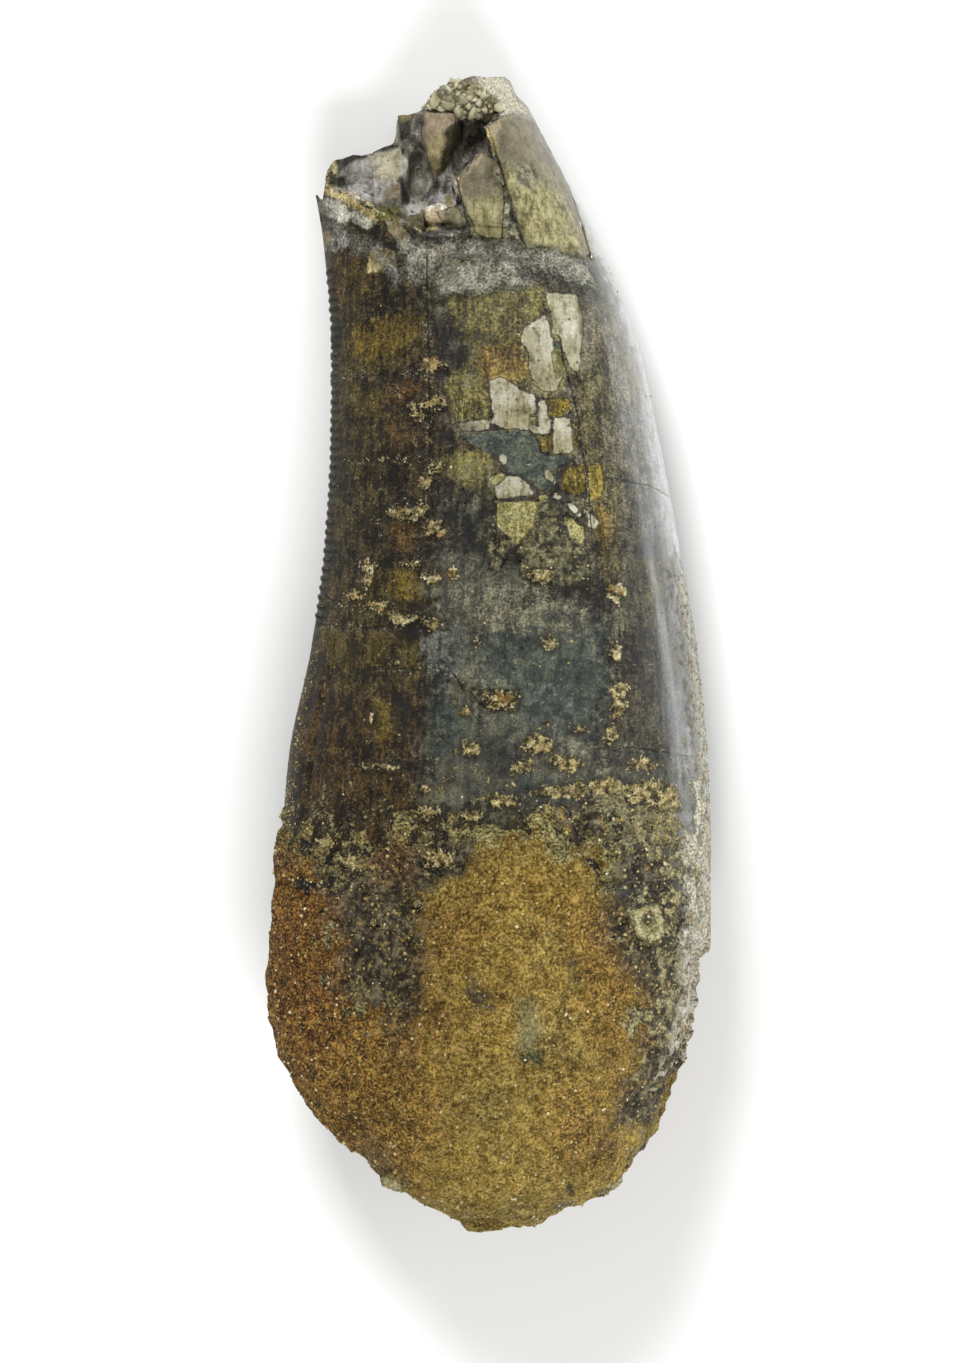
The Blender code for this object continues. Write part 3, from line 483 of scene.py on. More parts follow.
# The sandstone: how thick it lies on the tooth, by outlines in photograph pixels on the upper side.
SAND_SHEET = (
    (255, 800), (282, 812), (300, 870), (312, 930), (330, 985), (352, 1040), (385, 1050), (405, 1000),
    (418, 940), (440, 900), (462, 862), (485, 845), (530, 838), (575, 845), (592, 880), (600, 940),
    (612, 1000), (622, 1060), (640, 1085), (668, 1088), (690, 1060), (720, 1060), (720, 1260), (240, 1260),
    (240, 800),
)
SAND_VEIL = (
    (270, 790), (330, 830), (420, 800), (500, 790), (600, 770), (660, 780), (712, 770), (720, 930),
    (700, 1080), (640, 1090), (500, 1100), (380, 1080), (260, 1080),
)
ROCK_BREAK_X = (
    -18.0, -12.5, -11.0, -9.9, -8.6, -5.5, -4.9, -3.5, -1.5, -0.4, 1.9, 3.9, 4.7, 6.2, 7.6, 8.9, 10.2, 11.9,
    12.8, 18.0,
)
ROCK_BREAK_Y = (
    -33.0, -34.1, -34.9, -36.2, -38.2, -39.0, -39.8, -40.3, -41.5, -42.0, -41.4, -41.6, -41.0, -40.3, -39.8,
    -38.9, -37.7, -35.8, -34.5, -32.0,
)
CRUST_TOP = -7.0
CRUST_STEP = 0.22
CRUST_POINTS = 340
ROCK_MIDDLE_HEIGHT = 7.6

# The rock's closed end: for each ring, its share of the last ring's width, and how far it lies beyond it.
CRUST_END_RINGS = (
    (0.97, 0.25), (0.93, 0.5), (0.88, 0.75), (0.8, 1.0), (0.7, 1.25), (0.58, 1.45), (0.45, 1.6), (0.32, 1.7),
    (0.18, 1.78), (0.07, 1.8),
)

# Loose grains: how many there are, and their smallest and largest radius.
GRAINS = {
    "sand_grains": (9000, 0.04, 0.15),
    "tip_crumbs": (620, 0.07, 0.50),
    "sand_specks": (9000, 0.03, 0.11),
}

MAP_REACH = 3.0
FAR_AWAY = 1e9
HARDLY_EVER = 1e-9

# Large odd numbers that scramble a place and a seed into a random value.
SCRAMBLE_X, SCRAMBLE_Y, SCRAMBLE_Z, SCRAMBLE_SEED = 73856093, 19349663, 83492791, 26544357
SCRAMBLE_ONCE, SCRAMBLE_TWICE = 1274126177, 2246822519
LOW_32_BITS, LOW_16_BITS = 0xFFFFFFFF, 0xFFFF


# Random values that vary smoothly over space

def lattice(points, cell, seed=0):
    """Smooth random values from -1 to 1, which change over about one cell."""
    places = points / cell
    base = np.floor(places).astype(np.int64)
    ease = places - base
    ease = ease * ease * (3 - 2 * ease)
    total = np.zeros(len(points))
    for corner in product((0, 1), repeat=3):
        key = base + corner
        mixed = key[:, 0] * SCRAMBLE_X ^ key[:, 1] * SCRAMBLE_Y ^ key[:, 2] * SCRAMBLE_Z
        mixed = mixed ^ (seed + 1) * SCRAMBLE_SEED
        mixed = (mixed & LOW_32_BITS) * SCRAMBLE_ONCE & LOW_32_BITS
        mixed = (mixed ^ mixed >> 15) * SCRAMBLE_TWICE & LOW_32_BITS
        value = ((mixed ^ mixed >> 13) & LOW_16_BITS) / (LOW_16_BITS / 2) - 1
        total += value * np.prod(np.where(corner, ease, 1 - ease), axis=1)
    return total


def rough(points, cell, seed=0, octaves=3):
    """Random relief with finer relief on it, from about -1 to 1."""
    return sum(lattice(points, cell / 2**i, seed + i) / 2**i for i in range(octaves)) / 1.6


def on_plane(places):
    """Places seen from above, as points at height 0."""
    return np.column_stack((places, np.zeros(len(places))))


def wander(points, cell, seed, octaves=3, apart=10):
    """A random shift along X and Y for each point, up to about 1 each way."""
    return np.column_stack((rough(points, cell, seed, octaves), rough(points, cell, seed + apart, octaves)))


def broken_cells(points, cell, seed=0):
    """Cells that lie at random: the height of a flat face on each, tilted at random, from about -1 to 1, and
    the height of a rounded lump on each, 1 at its top and lower towards its neighbours."""
    places = points / cell
    base = np.floor(places).astype(np.int64)
    nearest = np.full(len(points), FAR_AWAY)
    height = np.zeros(len(points))
    for corner in product((-1, 0, 1), repeat=3):
        centre = base + corner
        draws = [lattice((centre + 0.5 + k) * 7.31, 1.0, seed + k) for k in range(7)]
        offset = places - centre - 0.5 - 0.5 * np.column_stack(draws[:3])
        away = (offset**2).sum(axis=1)
        value = draws[3] + sum(offset[:, k] * draws[4 + k] for k in range(3))
        closer = away < nearest
        nearest, height = np.where(closer, away, nearest), np.where(closer, value, height)
    return height, 1 - 2 * nearest


def facets(points, cell, seed=0):
    return broken_cells(points, cell, seed)[0]


def ease_in(values):
    """0 below 0, 1 above 1, and smooth between."""
    held = np.clip(values, 0, 1)
    return held * held * (3 - 2 * held)


# Outlines and lines drawn on the tooth

def away_from_line(x, y, start, end):
    """How far each place is from the straight line between two points."""
    (ax, ay), (bx, by) = start, end
    along_x, along_y = bx - ax, by - ay
    share = np.clip(((x - ax) * along_x + (y - ay) * along_y) / (along_x**2 + along_y**2), 0, 1)
    return np.hypot(x - ax - share * along_x, y - ay - share * along_y)


def inside_outline(places, outline):
    """How far inside an outline each place is, in millimetres, and negative outside it."""
    x, y = places.T
    nearest = np.full(len(places), FAR_AWAY)
    inside = np.zeros(len(places), bool)
    for (ax, ay), (bx, by) in zip(outline, np.roll(outline, -1, axis=0)):
        nearest = np.minimum(nearest, away_from_line(x, y, (ax, ay), (bx, by)))
        if ay != by:
            inside ^= ((ay > y) != (by > y)) & (x < ax + (y - ay) * (bx - ax) / (by - ay))
    return np.where(inside, nearest, -nearest)


def inside_any(places, outlines):
    return np.max([inside_outline(places, on_tooth(outline)) for outline in outlines], axis=0)


def across_lines(places, lines, reach):
    """How far each place is from the nearest line, with a sign for its side, and how near it is, from 0 out
    of reach to 1 on the line."""
    x, y = places.T
    nearest = np.full(len(places), reach)
    side = np.ones(len(places))
    for line in lines:
        points = on_tooth(line)
        for (ax, ay), (bx, by) in zip(points[:-1], points[1:]):
            away = away_from_line(x, y, (ax, ay), (bx, by))
            closer = away < nearest
            nearest = np.where(closer, away, nearest)
            turned = np.sign((x - ax) * (by - ay) - (y - ay) * (bx - ax))
            side = np.where(closer, turned, side)
    return nearest * side, 1 - nearest / reach


# The tooth's own shape

def section_slopes():
    """How fast each value changes along Y at each section, so that a curve through them doesn't overshoot."""
    steps = np.diff(SECTIONS[:, 0])[:, None]
    rates = np.diff(SECTIONS[:, 1:], axis=0) / steps
    slopes = np.zeros_like(SECTIONS[:, 1:])
    slopes[0], slopes[-1] = rates[0], rates[-1]
    near, far = 2 * steps[1:] + steps[:-1], steps[1:] + 2 * steps[:-1]
    with np.errstate(divide="ignore", invalid="ignore"):
        middle = (near + far) / (near / rates[:-1] + far / rates[1:])
    slopes[1:-1] = np.where(rates[:-1] * rates[1:] > 0, middle, 0)
    return slopes


SLOPES = section_slopes()


def section_at(y):
    """The serrated edge, convex edge, underside, upper side, edge height and edge bluntness at y."""
    places = SECTIONS[:, 0]
    i = np.clip(np.searchsorted(places, y) - 1, 0, len(places) - 2)
    step = places[i + 1] - places[i]
    t = ((y - places[i]) / step)[..., None]
    step = step[..., None]
    value = (
        (2 * t**3 - 3 * t**2 + 1) * SECTIONS[i, 1:]
        + (t**3 - 2 * t**2 + t) * step * SLOPES[i]
        + (3 * t**2 - 2 * t**3) * SECTIONS[i + 1, 1:]
        + (t**3 - t**2) * step * SLOPES[i + 1]
    )
    return np.moveaxis(value, -1, 0)


def bulge(across, bluntness):
    """How full a side is from one edge to the other: 0 at both edges, 1 where it is thickest."""
    thickest = bluntness / (bluntness + CONVEX_EDGE_ROUNDING)
    return (across / thickest) ** bluntness * ((1 - across) / (1 - thickest)) ** CONVEX_EDGE_ROUNDING


def surface_points(y, turn):
    """The tooth's surface at y. turn runs from 0 at the serrated edge over the upper side and round to 1."""
    serrated, convex, under, upper, edge, bluntness = section_at(y)
    angle = 2 * np.pi * turn
    across = (1 - np.cos(angle)) / 2
    reach = np.where(np.sin(angle) >= 0, upper - edge, under - edge)
    height = edge + reach * bulge(across, bluntness)
    return np.stack(np.broadcast_arrays(serrated + (convex - serrated) * across, y, height), axis=-1)


def surface_normals(y, turn):
    """The direction straight out of the tooth's surface."""
    low, high = np.maximum(y - 0.05, ROOT_END), np.minimum(y + 0.05, CROWN_END)
    along = surface_points(high, turn) - surface_points(low, turn)
    around = surface_points(y, turn + 0.004) - surface_points(y, (turn - 0.004) % 1.0)
    out = np.cross(around, along)
    return out / np.linalg.norm(out, axis=-1, keepdims=True)


def side_heights(x, y):
    """The heights of the upper side and of the underside at a place seen from above."""
    serrated, convex, under, upper, edge, bluntness = section_at(np.clip(y, ROOT_END, CROWN_END))
    full = bulge(np.clip((x - serrated) / (convex - serrated), 0, 1), bluntness)
    return edge + (upper - edge) * full, edge + (under - edge) * full


def both_sides(points):
    """The heights of the upper side and the underside at each point, and whether it is in the upper half."""
    upper, under = side_heights(points[:, 0], points[:, 1])
    return upper, under, points[:, 2] > (upper + under) / 2


def edges_at(y):
    """Where the serrated edge and the convex edge lie at y."""
    return section_at(np.clip(y, ROOT_END, CROWN_END))[:2]


# Meshes

def select_only(obj):
    bpy.ops.object.select_all(action="DESELECT")
    obj.select_set(True)
    bpy.context.view_layer.objects.active = obj


def new_object(name, data):
    obj = bpy.data.objects.new(name, data)
    bpy.context.scene.collection.objects.link(obj)
    return obj


def grid_mesh(name, points, capped=True):
    """A mesh over a grid of points, rings by places round each ring, with a fan over each end."""
    rings, around = points.shape[:2]
    index = np.arange(rings * around).reshape(rings, around)
    right = np.roll(index, -1, axis=1)
    quads = np.stack((index[:-1], right[:-1], right[1:], index[1:]), axis=-1).reshape(-1, 4)
    vertices = points.reshape(-1, 3)
    faces = quads.tolist()
    if capped:
        middles = len(vertices)
        vertices = np.vstack((vertices, points[0].mean(axis=0), points[-1].mean(axis=0)))
        faces += [[middles, right[0, k], index[0, k]] for k in range(around)]
        faces += [[middles + 1, index[-1, k], right[-1, k]] for k in range(around)]
    mesh = bpy.data.meshes.new(name)
    mesh.from_pydata((vertices * MM).tolist(), [], faces)
    mesh.update()
    obj = new_object(name, mesh)
    face_outwards(obj)
    return obj


def face_outwards(obj):
    select_only(obj)
    bpy.ops.object.mode_set(mode="EDIT")
    bpy.ops.mesh.select_all(action="SELECT")
    bpy.ops.mesh.normals_make_consistent(inside=False)
    bpy.ops.object.mode_set(mode="OBJECT")


def corners(obj):
    """A mesh's vertices as an array, in millimetres."""
    flat = np.empty(len(obj.data.vertices) * 3)
    obj.data.vertices.foreach_get("co", flat)
    return flat.reshape(-1, 3) / MM


def outward(obj):
    """A mesh's vertex normals as an array."""
    flat = np.empty(len(obj.data.vertices) * 3)
    obj.data.vertices.foreach_get("normal", flat)
    return flat.reshape(-1, 3)


def move_corners(obj, points):
    obj.data.vertices.foreach_set("co", (points * MM).ravel())
    obj.data.update()


def keep(obj, name, values):
    """Stores one number at each vertex, for the materials to read."""
    layer = obj.data.attributes.new(name, "FLOAT", "POINT")
    layer.data.foreach_set("value", np.ascontiguousarray(values, dtype=np.float32))


def apply_boolean(obj, cutter, operation):
    """Cuts or joins with a shape that is then deleted."""
    modifier = obj.modifiers.new("break", "BOOLEAN")
    modifier.operation = operation
    modifier.solver = "MANIFOLD"
    modifier.object = cutter
    select_only(obj)
    bpy.ops.object.modifier_apply(modifier="break")
    bpy.data.objects.remove(cutter, do_unlink=True)


def jagged(outline, step, amount, seed):
    """An outline with more points, moved a little at random."""
    closed = np.vstack((outline, outline[:1]))
    lengths = np.hypot(*np.diff(closed, axis=0).T)
    places = np.concatenate(((0,), np.cumsum(lengths)))
    count = int(places[-1] / step)
    at = np.arange(count) * places[-1] / count
    points = np.column_stack([np.interp(at, places, closed[:, k]) for k in (0, 1)])
    return points + amount * wander(on_plane(points), 0.9, seed, apart=40)


def rough_prism(name, outline, seed, amount=0.22):
    """A standing block with the plan of an outline and rough sides."""
    plan = jagged(np.array(outline), 0.35, 0.16, seed)
    levels = np.linspace(PRISM_LOW, PRISM_HIGH, int((PRISM_HIGH - PRISM_LOW) / 0.6))
    points = np.array([np.column_stack((plan, np.full(len(plan), level))) for level in levels])
    flat = points.reshape(-1, 3)
    moved = flat.copy()
    moved[:, 0] += amount * rough(flat * (1, 1, 0.6), 1.1, seed + 7)
    moved[:, 1] += amount * rough(flat * (1, 1, 0.6), 1.1, seed + 17)
    block = grid_mesh(name, moved.reshape(points.shape), capped=False)
    select_only(block)
    bpy.ops.object.mode_set(mode="EDIT")
    bpy.ops.mesh.select_all(action="DESELECT")
    bpy.ops.mesh.select_mode(type="EDGE")
    bpy.ops.mesh.select_non_manifold()
    bpy.ops.mesh.edge_face_add()
    bpy.ops.mesh.select_all(action="SELECT")
    bpy.ops.mesh.normals_make_consistent(inside=False)
    bpy.ops.object.mode_set(mode="OBJECT")
    return block


# The tooth

def tooth_blank():
    """The whole tooth before it broke, finer on its upper side."""
    upper = np.arange(UPPER_POINTS) / UPPER_POINTS / 2
    under = 0.5 + np.arange(UNDER_POINTS) / UNDER_POINTS / 2
    turn = np.concatenate((upper, under))
    root = np.arange(ROOT_END, HIDDEN_BELOW, ROOT_STEP)
    crown = np.arange(HIDDEN_BELOW, CROWN_END, CROWN_STEP)
    y = np.concatenate((root, crown, (CROWN_END,)))
    return grid_mesh("fossil_tooth", surface_points(y[:, None], turn[None, :]))


def hollow_height(x, y):
    """The height of the broken face inside the tip."""
    flat = on_plane(np.column_stack((x, y)))
    streaks = rough(flat * (1, 0.22, 1), 0.9, 3)
    lumps = rough(flat, 1.6, 5)
    floor = HOLLOW_FLOOR + 0.25 * streaks + 0.25 * lumps + 0.5 * facets(flat * (1, 0.6, 1), 1.5, 7)
    pit = np.clip(1 - np.hypot((x + 4.9) / 1.0, (y - 34.9) / 2.2) ** 2, 0, 1)
    pit += 0.5 * np.clip(1 - np.hypot((x + 1.2) / 1.0, (y - 36.9) / 1.9) ** 2, 0, 1)
    floor -= 1.6 * pit
    ridge = -3.1 - 0.18 * (37.9 - y)
    chunk_top = np.minimum(7.9 + 0.10 * (y - 37.9), 7.9 + 0.75 * (y - 37.9))
    chunk_top = chunk_top - 0.30 * np.maximum(0, ridge - x)
    chunk_top = chunk_top - (0.25 + 0.75 * (y < 37.8)) * np.maximum(0, x - ridge)
    left_side = 5.0 * (x - np.interp(y, (34.6, 36.5, 38.0), (-4.0, -4.5, -4.75)))
    right_side = 5.0 * (np.interp(y, (34.6, 36.2, 38.0), (-3.3, -2.4, -1.8)) - x)
    chunk_ends = np.minimum(4.0 * (39.7 - y), 4.0 * (y - 34.6))
    chunk = np.minimum(chunk_top, floor + np.minimum.reduce((left_side, right_side, chunk_ends)))
    corner_top = 5.6 + 0.5 * (y - 38.5)
    corner = np.minimum(corner_top, floor + np.minimum(4 * (x + 6.9), 3.4 * (-4.9 - x)) * (y > 36.3))
    rise = ease_in((x + 6.2) / 2.6)
    shelf = 7.2 + 0.40 * (y - 39.2) + 0.4 * np.clip((x + 1.0) / 2.0, 0, 1)
    tilts, lumpy = broken_cells(flat, 0.75, 9)
    shelf += (0.35 * lumpy + 0.20 * tilts) * (1 - ease_in((x + 0.6) / 1.6)) + 0.12 * lumps
    summit = floor + (shelf - floor) * rise * ease_in((y - 38.8) / 0.5)
    ledge = np.interp(x, LEDGE_X, LEDGE_Y)
    local, _ = side_heights(x, ledge)
    slope = 2.4 + 0.8 * facets(flat, 1.4, 13)
    wall = local + 0.3 - slope * (y - ledge + 0.40 * facets(flat, 0.9, 21))
    return np.maximum.reduce((floor, chunk, corner, summit, wall))


def hollow_cutter():
    """A block whose underside is the broken face inside the tip."""
    wide, deep = 126, 112
    x, y = np.meshgrid(np.linspace(-17, 5.6, wide), np.linspace(27.4, 47.4, deep))
    bottom = np.column_stack((x.ravel(), y.ravel(), hollow_height(x.ravel(), y.ravel())))
    lower = bottom.reshape(deep, wide, 3)
    rim = np.vstack((lower[0, :], lower[1:, -1], lower[-1, -2::-1], lower[-2:0:-1, 0]))
    top = rim.copy()
    top[:, 2] = CUTTERS_TOP
    count = len(rim)
    vertices = np.vstack((bottom, top, [[-6, 37, CUTTERS_TOP]]))
    index = np.arange(deep * wide).reshape(deep, wide)
    quads = np.stack((index[:-1, :-1], index[:-1, 1:], index[1:, 1:], index[1:, :-1]), axis=-1).reshape(-1, 4)
    ring = np.concatenate((index[0, :], index[1:, -1], index[-1, -2::-1], index[-2:0:-1, 0]))
    faces = quads[:, ::-1].tolist()
    for k in range(count):
        j = (k + 1) % count
        faces.append([int(ring[k]), int(ring[j]), deep * wide + j, deep * wide + k])
        faces.append([deep * wide + k, deep * wide + j, deep * wide + count])
    mesh = bpy.data.meshes.new("hollow")
    mesh.from_pydata((vertices * MM).tolist(), [], faces)
    slab = new_object("hollow", mesh)
    face_outwards(slab)
    apply_boolean(slab, rough_prism("hollow_plan", HOLLOW_OUTLINE, 31), "INTERSECT")
    return slab


def serrations():
    """A row of small rounded bars across the serrated edge."""
    count = int((SERRATED_TO - SERRATED_FROM) / SERRATION_PITCH) + 1
    y = SERRATED_FROM + SERRATION_PITCH * np.arange(count)
    edges, outs = surface_points(y, np.zeros(count)), surface_normals(y, np.zeros(count))
    bm = bmesh.new()
    for i in range(count):
        wear = 1 - 0.5 * max(0.0, (y[i] - 25.0) / 3.2)
        wear = wear - 0.12 * math.sin(i * 2.4) - 0.1 * math.sin(i * 1.1 + 1)
        made = bmesh.ops.create_icosphere(bm, subdivisions=2, radius=0.5)["verts"]
        angle = math.atan2(outs[i][1], -outs[i][0])
        for vert in made:
            x, across, up = vert.co * 2
            boxy = 1 / max(abs(x), abs(up) * 0.9, 0.75)
            reach = x * boxy * SERRATION_LENGTH / 2 - SERRATION_LENGTH / 2 + SERRATION_STANDS_OUT * wear
            high = up * boxy * 0.55
            wide = across * boxy * 0.26
            vert.co = (
                edges[i][0] - reach * math.cos(angle) - wide * math.sin(angle),
                y[i] + reach * math.sin(angle) + wide * math.cos(angle),
                edges[i][2] + high,
            )
    bmesh.ops.scale(bm, vec=(MM, MM, MM), verts=bm.verts)
    mesh = bpy.data.meshes.new("serrations")
    bm.to_mesh(mesh)
    bm.free()
    row = new_object("serrations", mesh)
    face_outwards(row)
    return row


def paint_maps(places, paints, seed):
    """For each kind of patch, how far inside it each place is, in millimetres, along wandering outlines."""
    fine = wander(on_plane(places), 0.5, seed)
    broad = wander(on_plane(places), 1.8, seed + 20)
    maps = {}
    for paint in paints:
        shifted = places + fine * min(0.18, paint.ragged) + broad * 0.35 * max(0, paint.ragged - 0.2)
        maps[paint.name] = inside_any(shifted, paint.outlines)
    return maps


def drawn_places(points, on_top):
    """Where each point lies on the drawing. The underside shows the same drawing, turned and shifted."""
    places = points[:, :2]
    turned = np.column_stack((1.5 - places[:, 0] * 0.92, 3.0 + (places[:, 1] - 6.0) * -0.8))
    return np.where(on_top[:, None], places, turned)


def tooth_maps(points, on_top):
    """For each place on the tooth, how far inside each kind of patch it lies."""
    drawn = drawn_places(points, on_top)
    maps = paint_maps(drawn, ENAMEL_PAINTS, 51)
    for name, values in paint_maps(points[:, :2], TIP_PAINTS, 53).items():
        maps[name] = np.where(on_top, values, -MAP_REACH)
    maps["sand"] = sand_spots(drawn)
    maps["crack"], maps["crack_near"] = across_lines(drawn, CRACKS, 0.7)
    return maps


def sand_spots(places):
    """How far inside the nearest spot of stuck sand each place is, in millimetres."""
    best = np.full(len(places), -MAP_REACH)
    places = places + 0.35 * wander(on_plane(places), 0.55, 341)
    for x, y, half_x, half_y in SAND_SPOTS:
        middle = on_tooth([(x, y)])[0]
        reach = np.array((half_x, half_y)) / PIXELS_PER_MM
        away = np.hypot(*((places - middle) / reach).T)
        best = np.maximum(best, (1 - away) * reach.min())
    return best


def plate_depth(points, thickness):
    """How far the layers that are gone take the upper side down."""
    total = np.zeros(len(points))
    shift = wander(points * (1, 1, 0), 0.7, 71) * 0.16
    for depth, outline in PLATES:
        inside = inside_outline(points[:, :2] + shift, on_tooth(outline))
        total += np.minimum(depth, 0.4 * thickness) * ease_in(inside / 0.3 + 0.5)
    return total


def tooth_relief(points, maps, broken, on_top):
    """How far each place stands out. Each term is a height in millimetres times a random or a drawn form."""
    serrated, convex = edges_at(points[:, 1])
    lift = np.zeros(len(points))
    lift += 0.09 * rough(points, 0.45, 101, 2) * ease_in(maps["granular"] / 0.4 + 0.5)
    lift += 0.03 * rough(points, 0.7, 105, 3) * ease_in(maps["slate"] / 0.8 + 0.5)
    lift += (0.05 + 0.10 * rough(points, 0.4, 111, 2)) * ease_in(maps["sand"] / 0.3 + 0.6)
    lift -= 0.08 * (1 - ease_in(np.abs(maps["crack"]) / 0.22)) * (maps["crack_near"] > 0.3)
    lift += 0.035 * rough(points * (1, 0.2, 1), 1.1, 121)
    lift += 0.03 * rough(points, 4.0, 131)
    splinters = 0.06 * rough(points * (1, 0.45, 1), 0.6, 141) + 0.12 * facets(points * (1, 0.6, 1), 1.2, 143)
    lift += broken * splinters
    low_down = ease_in((-8.0 - points[:, 1]) / 8)
    lift += low_down * 0.09 * rough(points, 0.9, 151)
    rim = ease_in((points[:, 0] - convex + 1.6) / 0.7) * ease_in((7.5 - points[:, 1]) / 2)
    lift += rim * 0.10 * rough(points, 0.7, 161)
    groove = 1 - ease_in(np.abs(points[:, 0] - serrated - 1.75) / 0.35)
    lift -= 0.16 * groove * on_top * ease_in((1.5 - points[:, 1]) / 2) * ease_in((points[:, 1] + 14) / 3)
    return lift * (points[:, 1] > HIDDEN_BELOW - 2)


def make_tooth():
    """The tooth, with its serrations, its broken tip, its relief and the maps that its material reads."""
    tooth = tooth_blank()
    apply_boolean(tooth, serrations(), "UNION")
    points = corners(tooth)
    upper, under, on_top = both_sides(points)
    points[:, 2] -= np.where(on_top, plate_depth(points, upper - under), 0)
    move_corners(tooth, points)
    apply_boolean(tooth, hollow_cutter(), "DIFFERENCE")
    apply_boolean(tooth, rough_prism("tip", TIP_OUTLINE, 91, 0.1), "DIFFERENCE")
    points, normals = corners(tooth), outward(tooth)
    upper, under, on_top = both_sides(points)
    maps = tooth_maps(points, on_top)
    below = np.where(on_top, upper - points[:, 2], points[:, 2] - under)
    serrated, convex = edges_at(points[:, 1])
    cut = below - np.where(on_top, plate_depth(points, upper - under), 0)
    broken = ease_in((cut - 0.10) / 0.3) * (points[:, 1] > BROKEN_FROM)
    moved = points + normals * tooth_relief(points, maps, broken, on_top)[:, None]
    low, high = (np.array(c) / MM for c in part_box("tooth"))
    move_corners(tooth, np.clip(moved, low + 0.01, high - 0.01))
    tooth.data.materials.clear()
    for name, values in maps.items():
        keep(tooth, name, np.clip(values, -MAP_REACH, MAP_REACH))
    keep(tooth, "cut", np.clip(cut, 0, 12))
    keep(tooth, "broken", broken)
    keep(tooth, "edge", points[:, 0] - serrated)
    keep(tooth, "far_edge", convex - points[:, 0])
    smooth_sides(tooth)
    return tooth


def smooth_sides(obj):
    select_only(obj)
    bpy.ops.object.shade_smooth()


# The sandstone

def rock_places(points, on_top):
    """Where each point of the rock lies on the drawing. The underside shows the same drawing, mirrored."""
    places = points[:, :2]
    mirrored = np.column_stack((1.0 - places[:, 0], places[:, 1] + 2.5))
    return np.where(on_top[:, None], places, mirrored)


def crust_thickness(points, turn):
    """How far the sandstone stands off the tooth's surface, and how far below it where there is none."""
    on_top = np.sin(2 * np.pi * turn) >= -0.02
    broad = wander(points, 2.4, 201, 4)
    finer = wander(points, 0.9, 203, 2)
    drawn = rock_places(points, on_top)
    sheet = inside_outline(drawn + broad * 1.4 + finer * 0.5, on_tooth(SAND_SHEET))
    veil = inside_outline(drawn + broad * 0.8, on_tooth(SAND_VEIL))
    window = inside_any(drawn + broad * 0.9, ROCK_PAINTS[1].outlines)
    patches = rough(points, 1.3, 221, 4)
    cover = ease_in(sheet / 1.2 + 0.5)
    low = ease_in((veil - 0.5) / 5.0)
    thin = -0.12 + 0.24 * low + 0.50 * patches
    full = 0.42 + 0.6 * ease_in(sheet / 7) + 0.28 * rough(points, 3.2, 231) + 0.12 * rough(points, 1.0, 241)
    thick = thin * (1 - cover) + full * cover
    thick -= (thick - 0.10) * 0.6 * ease_in(window / 0.8 + 0.5)
    outside = 1 - ease_in(np.maximum(veil, sheet) / 1.0 + 0.5)
    thick = thick * (1 - outside) - 0.5 * outside
    underneath = np.maximum(0, -np.sin(2 * np.pi * turn)) ** 2
    return thick + underneath * 0.5 * cover


def make_crust(box):
    """The rock, as a solid that dips under the tooth's surface wherever the tooth shows."""
    turn = np.arange(CRUST_POINTS) / CRUST_POINTS
    y = np.arange(CRUST_TOP, ROOT_END, -CRUST_STEP)
    y = np.append(y, ROOT_END)
    grid_y, grid_turn = np.meshgrid(y, turn, indexing="ij")
    skin = surface_points(grid_y, grid_turn)
    out = surface_normals(grid_y, grid_turn)
    thick = crust_thickness(skin.reshape(-1, 3), grid_turn.ravel()).reshape(grid_y.shape)
    rings = skin + out * thick[..., None]
    last = rings[-1]
    middle = last.mean(axis=0)
    ends = []
    for share, drop in CRUST_END_RINGS:
        ring = middle + (last - middle) * share - np.array((0, drop, 0))
        ring[:, 1] += 0.25 * rough(ring, 1.4, 251)
        ends.append(ring)
    points = np.concatenate((rings, np.array(ends)))
    flat = points.reshape(-1, 3)
    jag = rough(flat * (1, 1, 0.5), 0.8, 261)
    limit = np.interp(flat[:, 0] + 0.3 * jag, ROCK_BREAK_X, ROCK_BREAK_Y) + 0.15 * jag
    flat[:, 1] = np.maximum(flat[:, 1], limit)
    crust = grid_mesh("sandstone_crust", flat.reshape(points.shape))
    points, normals = corners(crust), outward(crust)
    maps = paint_maps(rock_places(points, points[:, 2] > ROCK_MIDDLE_HEIGHT), ROCK_PAINTS, 301)
    lift = 0.20 * rough(points, 0.6, 271, 2) + 0.20 * rough(points, 1.3, 275, 2)
    lift -= 0.35 * np.clip(rough(points, 1.7, 281) - 0.35, 0, 1)
    # The height before the patches sink; the material uses it for painted shade in the hollows and painted
    # light on the crests.
    keep(crust, "lift", lift)
    for paint in ROCK_PAINTS[4:]:
        lift -= paint.sink * ease_in(maps[paint.name] / 0.3 + 0.5)
    layered = ease_in((-17 - points[:, 1]) / 4) * ease_in((points[:, 0] - 4) / 4)
    layers = np.sin(9 * np.hypot(points[:, 0] + 4, points[:, 1] + 10) + 2.5 * rough(points, 3.0, 283))
    lift += 0.10 * layers * layered * ease_in((11.5 - points[:, 2]) / 2)
    moved = np.clip(points + normals * lift[:, None], box[0] + 0.02, box[1] - 0.02)
    bottom = 0.02 + 0.1 * np.clip(rough(points, 0.8, 291), 0, 1)
    moved[:, 2] = np.maximum(moved[:, 2], np.where(moved[:, 2] < 0.3, bottom, moved[:, 2]))
    move_corners(crust, moved)
    for name, values in maps.items():
        keep(crust, name, np.clip(values, -MAP_REACH, MAP_REACH))
    smooth_sides(crust)
    return crust


# Loose grains

